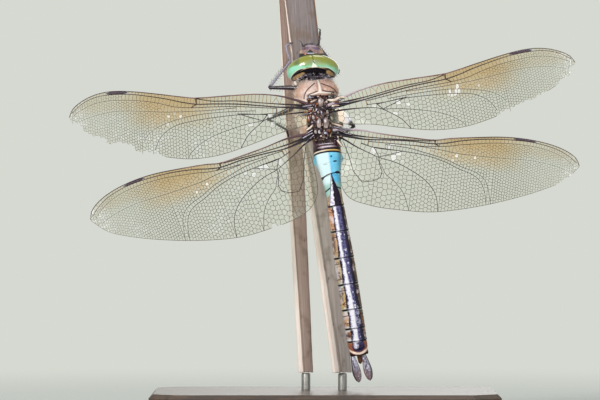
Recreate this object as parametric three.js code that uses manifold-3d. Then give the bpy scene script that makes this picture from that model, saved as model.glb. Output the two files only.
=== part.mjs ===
// A male lesser emperor dragonfly at life size, clinging head up to a short length of a dead reed
// leaf that has split into two blades, which two short rods hold up on a flat display base.
// Millimetres. +Z is up, +X is the animal's right and its back faces -Y. The origin is the middle
// of the base's underside.
import * as THREE from "three";
import { mergeVertices } from "three/addons/utils/BufferGeometryUtils.js";
import Module from "manifold-3d";

const wasm = await Module();
wasm.setup();

// ---- driving dimensions ---------------------------------------------------------------------
const gap = 0.1; // clearance between pieces that meet
const rad = Math.PI / 180;

const head = {
  centre: [-2.5, -7.2, 70.7],
  halfWidth: 5.23,
  halfHeight: 3.6,
  halfLength: 2.15, // from the middle of an eye to its front
  halfLengthBehind: 2.9,
  lowerBulge: 1.3, // the eyes are longer low down, beside the face
  sweep: 0.03, // how the eyes curve back at their sides, per millimetre
  pitch: 22, // the face tips towards the perch
  tilt: 5, // the left side hangs lower
};
const thorax = {
  front: [-1.85, -7.4, 68.3],
  rear: [-0.35, -7.7, 55.9],
  roll: 12, // the back is turned a little to the animal's right
};
const abdomen = {
  front: [0.06, -8.0, 56.2],
  rear: [6.9, -5.4, 12.9],
  roll: 6,
  segments: [2.4, 5.3, 5.9, 5.1, 5.4, 5.4, 5.1, 3.8, 2.6, 2.9],
};
const cercus = { length: 5.6, halfWidth: 0.88, halfDepth: 0.3, spread: 1.15, lean: 0.5 };
const wingThickness = 0.5;
const wingBend = 0.035; // how far a tip curves back, as a share of the span
const base = { width: 70, depth: 48, height: 5.5, corner: 5, edge: 0.8 };
const rodRadius = 0.9;
const perchFoot = 9; // height of the blades' lower cut ends
const perchTop = 85.2;

// ---- small helpers --------------------------------------------------------------------------
const v3 = (a) => new THREE.Vector3(...a);

// A smooth value along a length: knots are [place, value].
function profile(knots) {
  const slope = (i) => {
    const a = knots[Math.max(i - 1, 0)];
    const b = knots[Math.min(i + 1, knots.length - 1)];
    return (b[1] - a[1]) / (b[0] - a[0]);
  };
  return (x) => {
    if (x <= knots[0][0]) return knots[0][1];
    let i = 0;
    while (i < knots.length - 2 && x > knots[i + 1][0]) i++;
    const [x0, y0] = knots[i];
    const [x1, y1] = knots[i + 1];
    const span = x1 - x0;
    const t = Math.min((x - x0) / span, 1);
    const rise = t * t * (3 - 2 * t);
    const lead = t * (1 - t) * (1 - t) * span * slope(i);
    const trail = t * t * (t - 1) * span * slope(i + 1);
    return y0 + (y1 - y0) * rise + lead + trail;
  };
}

// Turns the faces round where a mapping has mirrored them.
function facingOut(geometry) {
  const position = geometry.getAttribute("position");
  const index = geometry.index.array;
  const [a, b, c] = [new THREE.Vector3(), new THREE.Vector3(), new THREE.Vector3()];
  let volume = 0;
  for (let i = 0; i < index.length; i += 3) {
    a.fromBufferAttribute(position, index[i]);
    b.fromBufferAttribute(position, index[i + 1]);
    c.fromBufferAttribute(position, index[i + 2]);
    volume += a.dot(b.cross(c));
  }
  if (volume < 0) {
    for (let i = 0; i < index.length; i += 3) [index[i + 1], index[i + 2]] = [index[i + 2], index[i + 1]];
  }
  geometry.computeVertexNormals();
  return geometry;
}

// Moves each vertex of a stock geometry to where move(point) puts it.
function shaped(geometry, move) {
  const g = geometry.clone();
  g.deleteAttribute("normal");
  g.deleteAttribute("uv");
  const merged = mergeVertices(g, 1e-5);
  const position = merged.getAttribute("position");
  const p = new THREE.Vector3();
  for (let i = 0; i < position.count; i++) {
    p.fromBufferAttribute(position, i);
    const q = move(p);
    position.setXYZ(i, q.x, q.y, q.z);
  }
  return facingOut(merged);
}

// A closed geometry as a solid, and grown outwards by a clearance where one is asked for.
function solidOf(geometry, grow = 0) {
  const g = geometry.clone();
  g.deleteAttribute("normal");
  g.deleteAttribute("uv");
  const merged = mergeVertices(g, 1e-4);
  merged.computeVertexNormals();
  const position = merged.getAttribute("position");
  const normal = merged.getAttribute("normal");
  const vertProperties = new Float32Array(position.array);
  for (let i = 0; i < vertProperties.length; i++) vertProperties[i] += grow * normal.array[i];
  const triVerts = new Uint32Array(merged.index.array);
  return new wasm.Manifold(new wasm.Mesh({ numProp: 3, vertProperties, triVerts }));
}

function geometryOf(solid) {
  const biggest = solid.decompose().sort((a, b) => b.volume() - a.volume())[0];
  const mesh = biggest.getMesh();
  return new THREE.BufferGeometry()
    .setAttribute("position", new THREE.BufferAttribute(new Float32Array(mesh.vertProperties), 3))
    .setIndex(new THREE.BufferAttribute(new Uint32Array(mesh.triVerts), 1));
}

// A geometry with the room of its neighbours, and a clearance round them, cut away.
function clearOf(geometry, ...neighbours) {
  let solid = solidOf(geometry);
  for (const n of neighbours) solid = solid.subtract(solidOf(n, gap));
  return geometryOf(solid);
}

// A frame for a piece with a long axis: along it, to its right and out of its back.
function frameAlong(from, to, roll) {
  const start = v3(from);
  const axis = v3(to).sub(start);
  const length = axis.length();
  axis.normalize();
  const back = new THREE.Vector3(0, -1, 0).applyAxisAngle(new THREE.Vector3(0, 0, 1), roll * rad);
  back.addScaledVector(axis, -back.dot(axis)).normalize();
  const right = new THREE.Vector3().crossVectors(back, axis).negate();
  if (right.x < 0) right.negate();
  return {
    length,
    at: (along, across, out) =>
      start.clone().addScaledVector(axis, along).addScaledVector(right, across).addScaledVector(back, out),
  };
}

const power = (x, n) => Math.sign(x) * Math.abs(x) ** n;

// A closed body round a line, with a rounded section whose half sizes change along it.
function lofted(frame, from, to, size, { sides = 16, steps = 6, squareness = 1 } = {}) {
  return shaped(new THREE.CylinderGeometry(1, 1, 1, sides, steps), (p) => {
    const along = from + (to - from) * (0.5 - p.y);
    const { width, back, front, bulge = 0 } = size(along);
    const across = power(p.x, squareness) * width;
    const out = p.z > 0 ? power(p.z, squareness) * back : power(p.z, squareness) * front;
    return frame.at(along, across, out + bulge);
  });
}

// A tapered limb through a few points.
function limb(points, radii, sides = 8, steps = 6) {
  const path = new THREE.CatmullRomCurve3(points.map(v3), false, "centripetal");
  const size = profile(radii);
  return shaped(new THREE.CylinderGeometry(1, 1, 1, sides, steps), (p) => {
    const t = 0.5 - p.y;
    const tangent = path.getTangent(t);
    const side = new THREE.Vector3(0, 1, 0).cross(tangent).normalize();
    const up = new THREE.Vector3().crossVectors(tangent, side);
    const r = size(t);
    return path.getPoint(t).addScaledVector(side, p.x * r).addScaledVector(up, p.z * r);
  });
}

const group = new THREE.Group();
function add(name, geometry, colour, roughness = 0.5, metalness = 0) {
  const material = new THREE.MeshStandardMaterial({ color: colour, roughness, metalness });
  const mesh = new THREE.Mesh(geometry, material);
  mesh.name = name;
  group.add(mesh);
  return mesh;
}

// ---- perch: two blades of one dead reed leaf ------------------------------------------------
// Each blade is a slim rounded strip that turns about its own length on the way down.
const blades = {
  right: {
    top: [-5.15, 3.2],
    foot: [3.6, 3.4],
    halfWidth: 3.05,
    halfThick: 0.95,
    turn: profile([[perchFoot, 56], [31, 40], [61, 14], [perchTop, 4]]),
  },
  left: {
    top: [-7.6, 5.9],
    foot: [-3.8, 4.7],
    halfWidth: 1.75,
    halfThick: 0.85,
    turn: profile([[perchFoot, 40], [31, 28], [61, 8], [perchTop, 2]]),
  },
};

function bladeGeometry({ top, foot, halfWidth, halfThick, turn }) {
  return shaped(new THREE.CylinderGeometry(1, 1, 1, 12, 10), (p) => {
    const z = perchFoot + (perchTop - perchFoot) * (p.y + 0.5);
    const share = (z - perchFoot) / (perchTop - perchFoot);
    const angle = -turn(z) * rad;
    const across = power(p.x, 0.6) * halfWidth;
    const out = power(p.z, 0.7) * halfThick * (1 - 0.25 * p.x * p.x);
    return new THREE.Vector3(
      foot[0] + (top[0] - foot[0]) * share + across * Math.cos(angle) - out * Math.sin(angle),
      foot[1] + (top[1] - foot[1]) * share - across * Math.sin(angle) - out * Math.cos(angle),
      z,
    );
  });
}

const rightBlade = bladeGeometry(blades.right);
const leftBlade = clearOf(bladeGeometry(blades.left), rightBlade);

// ---- thorax ---------------------------------------------------------------------------------
const thoraxFrame = frameAlong(thorax.front, thorax.rear, thorax.roll);
const thoraxWidth = profile([[0, 1.9], [0.7, 3.2], [2.2, 4.25], [4, 4.5], [7.2, 4.85], [9, 4.7], [10.8, 3.5], [12.5, 2.7]]);
const thoraxBack = profile([[0, 1.0], [1, 2.3], [2.6, 3.7], [3.6, 4.0], [8, 3.9], [11, 3.4], [12.5, 2.7]]);
const thoraxFront = profile([[0, 1.5], [1.6, 4.2], [3.5, 5.7], [6, 5.2], [9, 4.0], [12.5, 2.6]]);

const thoraxGeometry = shaped(new THREE.CylinderGeometry(1, 1, 1, 22, 13), (p) => {
  const along = thoraxFrame.length * (0.5 - p.y);
  const widest = -1.2 * THREE.MathUtils.smoothstep(along, 0, 4);
  const half = p.z > 0 ? thoraxBack(along) - widest : thoraxFront(along) + widest;
  const out = widest + power(p.z, 0.82) * half;
  // The sides draw in towards the wing roots on the back, as the flanks lean outwards below them.
  const drawIn = 1 - 0.36 * THREE.MathUtils.smoothstep(out, 0.5, 4) * THREE.MathUtils.smoothstep(along, 2, 4.5);
  // The body is seen turned a little to its left, so its right flank stands out less.
  const rightIn = p.x > 0 ? 1 - 0.24 * THREE.MathUtils.smoothstep(along, 3, 5.5) * (1 - THREE.MathUtils.smoothstep(along, 9.5, 12)) : 1;
  return thoraxFrame.at(along, power(p.x, 0.85) * thoraxWidth(along) * drawIn * rightIn, out);
});

// ---- abdomen --------------------------------------------------------------------------------
const abdomenAxis = frameAlong(abdomen.front, abdomen.rear, abdomen.roll);
// The rings lean a little, further forward on the back than on the belly, most of all behind the waist.
const ringLean = profile([[0, 0], [0.4, 0], [2.6, 0.2], [8, 0.2], [13, 0.1], [34, 0.08], [42, 0], [60, 0]]);
const abdomenFrame = {
  length: abdomenAxis.length,
  at: (along, across, out) => abdomenAxis.at(along - ringLean(along) * out, across, out),
};
const abdomenLength = abdomen.segments.reduce((a, b) => a + b, 0);
const abdomenWidth = profile([
  [0, 2.6], [2.2, 2.8], [4, 2.75], [7.6, 2.02], [11, 1.62], [14, 1.7],
  [19, 1.86], [24, 2.05], [34.5, 2.1], [41, 2.02], [43.9, 1.8],
]);
const abdomenBack = profile([[0, 2.3], [3, 2.6], [7.5, 2.0], [11, 1.6], [20, 1.65], [34, 1.7], [41, 1.5], [43.9, 1.2]]);
const abdomenFront = profile([[0, 2.5], [3.5, 3.0], [7.5, 2.1], [11, 1.6], [20, 1.6], [34, 1.6], [41, 1.4], [43.9, 1.1]]);

function segmentGeometry(from, to) {
  const swell = (along) => 1 - 0.05 * Math.abs((2 * (along - from)) / (to - from) - 1) ** 6;
  return lofted(
    abdomenFrame,
    from + gap / 2,
    to - gap / 2,
    (along) => ({
      width: abdomenWidth(along) * swell(along),
      back: abdomenBack(along) * swell(along),
      front: abdomenFront(along) * swell(along),
    }),
    { sides: 16, steps: 4, squareness: 0.9 },
  );
}

let reached = 0;
const segments = abdomen.segments.map((length) => {
  const geometry = segmentGeometry(reached, reached + length);
  reached += length;
  return geometry;
});
segments[0] = clearOf(segments[0], thoraxGeometry);

// The male's claspers: two leaf-shaped blades, and a short plate between their roots.
function cercusGeometry(side) {
  const from = abdomenLength + gap / 2;
  const leaf = profile([[0, 0.42], [0.25, 0.72], [0.6, 1], [0.85, 0.75], [1, 0.25]]);
  return shaped(new THREE.CylinderGeometry(1, 1, 1, 10, 7), (p) => {
    const share = 0.5 - p.y;
    const centre = side * cercus.spread + cercus.lean * (share - 0.5);
    const across = p.x * cercus.halfWidth * leaf(share);
    const out = p.z * (cercus.halfDepth + 0.25 * (1 - share)) + 0.35 * Math.sin(share * Math.PI);
    return abdomenFrame.at(from + share * cercus.length, centre + across, out);
  });
}
const epiproct = lofted(
  abdomenFrame,
  abdomenLength + gap / 2,
  abdomenLength + 1.8,
  (along) => ({ width: 0.5 - 0.12 * (along - abdomenLength), back: 0.12, front: 0.5 }),
  { sides: 8, steps: 2 },
);

// ---- head -----------------------------------------------------------------------------------
const headTurn = new THREE.Matrix4()
  .makeRotationY(-head.tilt * rad)
  .multiply(new THREE.Matrix4().makeRotationX(-head.pitch * rad));
// In the head's own frame x is across, y is towards the chin and z is forwards.
function inHead(x, y, z) {
  return new THREE.Vector3(x, y, z).applyMatrix4(headTurn).add(v3(head.centre));
}

// The eyes and the back of the head share one outline, swept back at its sides.
function headOutline(p, grow = 0) {
  const x = p.x * (head.halfWidth + grow);
  const fuller = head.lowerBulge * THREE.MathUtils.smoothstep(p.y, -0.3, 0.6);
  const length = p.z > 0 ? head.halfLength + fuller : head.halfLengthBehind;
  return [x, p.y * (head.halfHeight + grow), power(p.z, 0.85) * (length + grow) - head.sweep * x * x];
}
const ball = new THREE.SphereGeometry(1, 24, 14);
const headBody = (grow = 0) => shaped(ball, (p) => inHead(...headOutline(p, grow)));
// A round hollow in the back of the head, which takes the neck.
const hollow = (radius, back) =>
  shaped(new THREE.SphereGeometry(radius, 20, 10), (p) => inHead(p.x, p.y * 1.1, p.z - back - radius));

// The face: brow, nose plate, lip and jaws in one rounded column between the eyes.
const faceTop = -2.9;
const faceChin = 4.6;
const faceWidth = profile([
  [-2.9, 0.7], [-2.5, 1.8], [-1.7, 2.5], [-0.6, 2.6], [1, 2.45], [2.4, 2.5], [3.4, 2.2], [4.1, 1.5], [4.6, 0.6],
]);
const faceForward = profile([
  [-2.9, 2.2], [-2.5, 3.3], [-1.9, 4.2], [-1.1, 4.65], [-0.3, 4.5], [0.3, 4.0],
  [1, 4.05], [2, 3.6], [2.5, 3.3], [3.2, 3.1], [3.9, 2.2], [4.6, 0.8],
]);
const faceGeometry = shaped(new THREE.CylinderGeometry(1, 1, 1, 16, 14), (p) => {
  const y = faceTop + (faceChin - faceTop) * (0.5 - p.y);
  const z = p.z > 0 ? power(p.z, 0.75) * faceForward(y) : p.z * 1.2;
  return inHead(power(p.x, 0.75) * faceWidth(y), y, z);
});
const halfSpace = (side) =>
  shaped(new THREE.BoxGeometry(12, 24, 24), (p) => inHead(p.x + side * (6 + gap / 2), p.y, p.z));

const eyeCutters = [solidOf(faceGeometry, gap), solidOf(hollow(6.2, 0.75), gap), solidOf(thoraxGeometry, gap)];
function eyeGeometry(side) {
  let eye = solidOf(headBody()).intersect(solidOf(halfSpace(side)));
  for (const c of eyeCutters) eye = eye.subtract(c);
  return geometryOf(eye);
}
const skullGeometry = clearOf(geometryOf(
  solidOf(headBody(-0.12))
    .intersect(solidOf(hollow(6.2, 0.75)))
    .subtract(solidOf(hollow(5.6, 1.75)))
    .subtract(solidOf(faceGeometry, gap)),
), thoraxGeometry);

// ---- neck -----------------------------------------------------------------------------------
const neckGeometry = limb(
  [[-2.4, -6.5, 69.9], [-2.2, -6.8, 69.1], [-1.85, -7.2, 67.9]],
  [[0, 1.2], [0.4, 1.75], [0.75, 2.0], [1, 2.1]],
  12,
  4,
);

// ---- wings ----------------------------------------------------------------------------------
// Outlines in shares of the span: s runs from the hinge to the tip and c towards the front edge.
const outlines = {
  fore: {
    front: [[-0.03, -0.008], [0, 0], [0.05, 0.018], [0.12, 0.038], [0.21, 0.049], [0.33, 0.048], [0.467, 0.045], [0.52, 0.051],
      [0.62, 0.067], [0.72, 0.081], [0.81, 0.087], [0.88, 0.078], [0.94, 0.054], [0.985, 0.02], [1, -0.012]],
    rear: [[-0.03, -0.075], [0.015, -0.088], [0.12, -0.113], [0.25, -0.155], [0.38, -0.19], [0.5, -0.2], [0.62, -0.184],
      [0.74, -0.154], [0.85, -0.117], [0.93, -0.082], [0.98, -0.045], [1, -0.012]],
  },
  hind: {
    front: [[-0.025, -0.006], [0, 0], [0.09, 0.0135], [0.2, 0.012], [0.31, 0.014], [0.4, 0.018], [0.46, 0.034], [0.57, 0.055],
      [0.68, 0.072], [0.78, 0.076], [0.87, 0.067], [0.94, 0.047], [0.985, 0.018], [1, -0.012]],
    rear: [[-0.025, -0.034], [0.014, -0.04], [0.027, -0.13], [0.043, -0.215], [0.088, -0.275], [0.17, -0.302], [0.3, -0.303],
      [0.42, -0.293], [0.54, -0.263], [0.66, -0.222], [0.78, -0.172], [0.88, -0.122], [0.95, -0.076], [1, -0.012]],
  },
};
// slope: the span's rise above level; near: how far the tip comes towards the viewer of the back;
// tears: missing pieces of the margin, as short outlines in the same shares.
const wings = {
  wing_fore_right: {
    kind: "fore", side: 1, hinge: [1.75, -10.5, 63.4], span: 49.0, slope: 9.5, near: -4, pitch: 22,
    tears: [
      [[0.62, -0.2], [0.66, -0.166], [0.73, -0.141], [0.79, -0.135], [0.85, -0.11], [0.9, -0.13]],
      [[0.88, -0.13], [0.925, -0.072], [0.965, -0.066], [0.972, -0.04], [0.968, -0.022], [1.03, -0.03]],
    ],
  },
  wing_hind_right: {
    kind: "hind", side: 1, hinge: [2.6, -9.9, 58.0], span: 48.9, slope: -8.5, near: -4, pitch: 20,
    tears: [[[0.9, -0.12], [0.945, -0.065], [0.975, -0.047], [1.02, -0.06]]],
  },
  wing_fore_left: {
    kind: "fore", side: -1, hinge: [-3.4, -10.5, 63.2], span: 49.0, slope: -3, near: 14, pitch: 0,
    tears: [
      [[0.6, -0.21], [0.62, -0.175], [0.67, -0.162], [0.725, -0.156], [0.74, -0.13], [0.8, -0.112], [0.86, -0.14]],
      [[0.83, -0.14], [0.85, -0.1], [0.9, -0.085], [0.94, -0.061], [0.958, -0.031], [0.99, -0.025], [1.03, -0.06]],
    ],
  },
  wing_hind_left: {
    kind: "hind", side: -1, hinge: [-3.3, -9.9, 57.2], span: 49.0, slope: -21.2, near: 18, pitch: 0,
    tears: [[[0.24, -0.32], [0.255, -0.294], [0.29, -0.297], [0.3, -0.32]]],
  },
};

// Where a share pair (s, c) and a height off the wing's plane lie in the part. The root lies flat on
// the body, and the twist of the chord comes in past it.
function wingPlace({ side, hinge, span, slope, near, pitch }) {
  const a = slope * rad;
  const b = near * rad;
  const along = new THREE.Vector3(side * Math.cos(a) * Math.cos(b), -Math.sin(b), Math.sin(a) * Math.cos(b));
  const flatChord = new THREE.Vector3(-side * Math.sin(a), 0, Math.cos(a));
  return (s, c, height) => {
    const twist = -side * pitch * rad * THREE.MathUtils.smoothstep(s, -0.02, 0.16);
    const chord = flatChord.clone().applyAxisAngle(along, twist);
    const back = new THREE.Vector3().crossVectors(along, chord).multiplyScalar(side);
    return v3(hinge)
      .addScaledVector(along, s * span)
      .addScaledVector(chord, c * span)
      .addScaledVector(back, -height + wingBend * span * s * s);
  };
}

function wingGeometry(wing) {
  const outline = outlines[wing.kind];
  const curve = (points) => new THREE.CatmullRomCurve3(points.map(([s, c]) => new THREE.Vector3(s, c, 0)));
  const front = curve(outline.front);
  const rear = curve(outline.rear);
  const place = wingPlace(wing);
  // The last chord before the tip is short but not nothing, so that the end stays closed.
  const plate = shaped(new THREE.BoxGeometry(1, 1, 1, 28, 2, 1), (p) => {
    const u = Math.sin((p.x + 0.5) * 0.5 * Math.PI) * 0.985;
    const q = front.getPointAt(u).lerp(rear.getPointAt(u), 0.5 - p.y);
    return place(q.x, q.y, p.z * wingThickness);
  });
  let solid = solidOf(plate);
  for (const tear of wing.tears) {
    const shape = new THREE.Shape(tear.map(([s, c]) => new THREE.Vector2(s, c)));
    const slug = new THREE.ExtrudeGeometry(shape, { depth: 8, bevelEnabled: false });
    solid = solid.subtract(solidOf(shaped(slug, (p) => place(p.x, p.y, p.z - 4))));
  }
  for (const g of [thoraxGeometry, segments[0], segments[1], segments[2]]) solid = solid.subtract(solidOf(g, gap));
  return geometryOf(solid);
}

// ---- legs -----------------------------------------------------------------------------------
// Hip, knee, ankle, sole and claw of each leg.
const legs = {
  front_left: [[-2.8, -4.0, 66.4], [-11.2, -1.8, 66.6], [-6.95, 1.3, 72.1], [-7.75, 1.6, 75.0], [-7.1, 2.1, 75.6]],
  front_right: [[-0.8, -4.0, 66.6], [2.75, -1.6, 69.9], [-1.25, 1.2, 75.1], [-1.0, 1.6, 77.2], [-0.95, 1.9, 78.2]],
  middle_left: [[-3.2, -2.9, 63.8], [-11.5, -1.2, 60.3], [-7.7, 2.9, 58.2], [-7.3, 3.6, 56.6], [-7.1, 4.0, 55.8]],
  middle_right: [[0.2, -3.1, 63.2], [5.9, -2.4, 58.9], [3.2, 1.6, 56.8], [2.9, 2.3, 55.2], [2.7, 2.7, 54.4]],
  hind_left: [[-2.4, -3.1, 61.2], [-0.9, -1.4, 52.9], [0.5, 1.0, 47.4], [0.8, 1.5, 45.2], [0.9, 1.9, 44.3]],
  hind_right: [[0.0, -3.1, 60.8], [2.4, -1.2, 53.0], [2.3, 1.0, 47.6], [2.2, 1.5, 45.4], [2.1, 1.9, 44.5]],
};
const femurGirth = [[0, 0.55], [0.3, 0.52], [0.8, 0.38], [1, 0.33]];
// The middle right thigh is the one that shows its broad pale side.
const paleFemurGirth = [[0, 0.5], [0.35, 0.85], [0.65, 0.8], [0.9, 0.45], [1, 0.35]];
const tibiaGirth = [[0, 0.32], [0.15, 0.28], [1, 0.26]];
const tarsusGirth = [[0, 0.27], [0.7, 0.27], [1, 0.25]];

// ---- build ----------------------------------------------------------------------------------
const green = 0x6f8f3a;
const brown = 0x8a5f43;
const dark = 0x2b2430;

const eyes = { left: eyeGeometry(-1), right: eyeGeometry(1) };
add("eye_left", eyes.left, green, 0.15);
add("eye_right", eyes.right, green, 0.15);
add("head_back", skullGeometry, 0x1c1718);
add("face", faceGeometry, 0x94786e);
const neck = clearOf(neckGeometry, thoraxGeometry, skullGeometry, faceGeometry, eyes.left, eyes.right);
add("neck", neck, 0x4a3a34);

for (const [name, side] of [["left", -1], ["right", 1]]) {
  const feeler = limb(
    [inHead(side * 1.35, -2.3, 3.5), inHead(side * 1.8, -2.0, 4.7), inHead(side * 2.3, -0.9, 5.6)].map((p) => p.toArray()),
    [[0, 0.27], [1, 0.25]],
    6,
    3,
  );
  add("antenna_" + name, clearOf(feeler, faceGeometry, eyes[name]), dark);
}

add("thorax", thoraxGeometry, brown);
segments.forEach((geometry, i) => add("abdomen_" + String(i + 1).padStart(2, "0"), geometry, i === 1 ? 0x6fc4ea : dark, 0.25));
for (const [name, side] of [["left", -1], ["right", 1]]) {
  add("cercus_" + name, cercusGeometry(side), 0x4b3f49);
}
add("epiproct", clearOf(epiproct, cercusGeometry(-1), cercusGeometry(1)), brown);

for (const [name, wing] of Object.entries(wings)) {
  add(name, wingGeometry(wing), 0xb9b48f, 0.2);
}

const inTheWay = [thoraxGeometry, faceGeometry, skullGeometry, eyes.left, eyes.right, segments[0], segments[1], segments[2]];
for (const [name, [hip, knee, ankle, sole, claw]] of Object.entries(legs)) {
  const femur = clearOf(limb([hip, knee], name === "middle_right" ? paleFemurGirth : femurGirth, 8, 4), ...inTheWay, rightBlade, leftBlade);
  const tibia = clearOf(limb([knee, ankle], tibiaGirth, 6, 2), femur, ...inTheWay, rightBlade, leftBlade);
  const tarsus = clearOf(limb([ankle, sole, claw], tarsusGirth, 6, 4), tibia, rightBlade, leftBlade);
  add("leg_" + name + "_femur", femur, dark);
  add("leg_" + name + "_tibia", tibia, dark);
  add("leg_" + name + "_tarsus", tarsus, dark);
}

add("perch_blade_right", rightBlade, 0x84766c, 0.8);
add("perch_blade_left", leftBlade, 0x7d6a60, 0.8);

// ---- stand ----------------------------------------------------------------------------------
function baseGeometry() {
  const { width, depth, height, corner, edge } = base;
  const x = width / 2 - edge;
  const y = depth / 2 - edge;
  const shape = new THREE.Shape();
  shape.moveTo(-x + corner, -y);
  for (const [px, py] of [[x - corner, -y], [x, -y + corner], [x, y - corner], [x - corner, y],
    [-x + corner, y], [-x, y - corner], [-x, -y + corner]]) shape.lineTo(px, py);
  const bevel = { bevelThickness: edge, bevelSize: edge, bevelSegments: 1 };
  return new THREE.ExtrudeGeometry(shape, { depth: height - 2 * edge, ...bevel }).translate(0, 0, edge);
}
add("stand_base", baseGeometry(), 0x2a2522, 0.4);
for (const [name, blade] of Object.entries(blades)) {
  const length = perchFoot - base.height - 2 * gap;
  const rod = new THREE.CylinderGeometry(rodRadius, rodRadius, length, 16)
    .rotateX(Math.PI / 2)
    .translate(blade.foot[0], blade.foot[1], base.height + gap + length / 2);
  add("stand_rod_" + name, rod, 0xb8b4ac, 0.3, 1);
}

export default group;
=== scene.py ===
import math
import random

import bmesh
import bpy
import numpy as np
from mathutils import Matrix, Vector
from mathutils.bvhtree import BVHTree


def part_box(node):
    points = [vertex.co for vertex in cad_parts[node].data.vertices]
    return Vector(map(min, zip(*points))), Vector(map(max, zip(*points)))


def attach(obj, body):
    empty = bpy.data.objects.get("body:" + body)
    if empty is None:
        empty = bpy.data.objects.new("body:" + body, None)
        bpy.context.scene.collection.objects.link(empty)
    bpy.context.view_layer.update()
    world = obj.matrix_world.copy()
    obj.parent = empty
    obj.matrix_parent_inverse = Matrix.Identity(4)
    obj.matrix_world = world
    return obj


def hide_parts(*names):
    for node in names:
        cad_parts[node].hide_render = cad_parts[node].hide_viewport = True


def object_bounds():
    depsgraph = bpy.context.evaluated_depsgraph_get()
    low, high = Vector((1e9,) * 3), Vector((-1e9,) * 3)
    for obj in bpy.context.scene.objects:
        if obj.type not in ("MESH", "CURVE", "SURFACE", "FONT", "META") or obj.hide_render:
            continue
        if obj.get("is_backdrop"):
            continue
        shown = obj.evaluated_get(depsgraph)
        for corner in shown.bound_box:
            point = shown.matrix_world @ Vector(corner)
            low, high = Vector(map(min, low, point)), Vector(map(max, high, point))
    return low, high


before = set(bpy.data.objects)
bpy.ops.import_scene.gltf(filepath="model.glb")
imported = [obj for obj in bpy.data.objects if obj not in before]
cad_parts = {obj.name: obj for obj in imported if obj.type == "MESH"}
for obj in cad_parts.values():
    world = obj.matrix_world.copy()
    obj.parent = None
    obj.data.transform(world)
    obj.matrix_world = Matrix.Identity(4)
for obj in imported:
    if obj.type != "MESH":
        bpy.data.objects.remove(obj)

print("frame loaded")
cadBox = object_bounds()
mm = 0.001
scene = bpy.context.scene


def tone(r, g, b):
    # a screen colour, 0 to 255, as the linear colour the shaders take
    def line(v):
        v /= 255
        return v / 12.92 if v <= 0.04045 else ((v + 0.055) / 1.055) ** 2.4
    return (line(r), line(g), line(b), 1.0)


def ease(x, low, high):
    t = min(max((x - low) / (high - low), 0.0), 1.0)
    return t * t * (3 - 2 * t)


def power(x, n):
    return math.copysign(abs(x) ** n, x)


def profile(knots):
    # a smooth value along a length, through [place, value] knots
    def slope(i):
        a, b = knots[max(i - 1, 0)], knots[min(i + 1, len(knots) - 1)]
        return (b[1] - a[1]) / (b[0] - a[0])

    def value(x):
        if x <= knots[0][0]:
            return knots[0][1]
        i = 0
        while i < len(knots) - 2 and x > knots[i + 1][0]:
            i += 1
        (x0, y0), (x1, y1) = knots[i], knots[i + 1]
        span = x1 - x0
        t = min((x - x0) / span, 1)
        rise = t * t * (3 - 2 * t)
        lead = t * (1 - t) * (1 - t) * span * slope(i)
        trail = t * t * (t - 1) * span * slope(i + 1)
        return y0 + (y1 - y0) * rise + lead + trail
    return value


def bump(x, middle, width):
    return math.exp(-((x - middle) / width) ** 2)


def toLine(x, z, line):
    # distance from a place to a broken line on the plan of the back
    best = 1e9
    for (x0, z0), (x1, z1) in zip(line, line[1:]):
        dx, dz = x1 - x0, z1 - z0
        t = min(max(((x - x0) * dx + (z - z0) * dz) / (dx * dx + dz * dz), 0), 1)
        best = min(best, math.hypot(x - x0 - t * dx, z - z0 - t * dz))
    return best


def keep(mesh, name, values):
    # stores a number or a vector for each point of a mesh
    values = np.asarray(values, float)
    kind = "FLOAT" if values.ndim == 1 else "FLOAT_VECTOR"
    spot = mesh.attributes.new(name, kind, "POINT")
    spot.data.foreach_set("value" if kind == "FLOAT" else "vector", values.ravel().astype(np.float32))


def shown(name, data):
    made = bpy.data.objects.new(name, data)
    scene.collection.objects.link(made)
    return made


def piece(name, points, faces, finish, stands=(), sharp=40, layers=None, flat=False):
    # points are in millimetres; layers are values kept at the points for the finish to read
    mesh = bpy.data.meshes.new(name)
    mesh.from_pydata((np.asarray(points, float) * mm).tolist(), [], [list(map(int, f)) for f in faces])
    for layer, values in (layers or {}).items():
        keep(mesh, layer, values)
    work = bmesh.new()
    work.from_mesh(mesh)
    bmesh.ops.recalc_face_normals(work, faces=work.faces)
    work.to_mesh(mesh)
    work.free()
    if not flat:
        mesh.polygons.foreach_set("use_smooth", [True] * len(mesh.polygons))
        mesh.set_sharp_from_angle(angle=math.radians(sharp))
    mesh.materials.append(finish)
    return settle(shown(name, mesh), stands)


def settle(made, stands=()):
    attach(made, "root")
    if stands:
        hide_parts(*([stands] if isinstance(stands, str) else stands))
    return made


def ringOf(sides):
    # the cosine and sine of each place round a circle
    return [(math.cos(2 * math.pi * j / sides), math.sin(2 * math.pi * j / sides)) for j in range(sides)]


def ringFaces(rows, sides):
    faces = []
    for i in range(rows - 1):
        for j in range(sides):
            k = (j + 1) % sides
            faces.append((i * sides + j, i * sides + k, (i + 1) * sides + k, (i + 1) * sides + j))
    return faces


def tube(rows):
    # rows of rings, closed at both ends by a fan to the ring's own middle
    rows = np.asarray(rows, float)
    count, sides = rows.shape[:2]
    points = rows.reshape(-1, 3)
    faces = ringFaces(count, sides)
    first, last = len(points), len(points) + 1
    points = np.vstack([points, rows[0].mean(0), rows[-1].mean(0)])
    for j in range(sides):
        k = (j + 1) % sides
        faces.append((first, k, j))
        faces.append((last, (count - 1) * sides + j, (count - 1) * sides + k))
    return points, faces


def joined(parts):
    # several (points, faces) as one
    points, faces, start = [], [], 0
    for p, f in parts:
        points.append(np.asarray(p, float))
        faces += [tuple(i + start for i in face) for face in f]
        start += len(p)
    return np.vstack(points), faces


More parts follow.
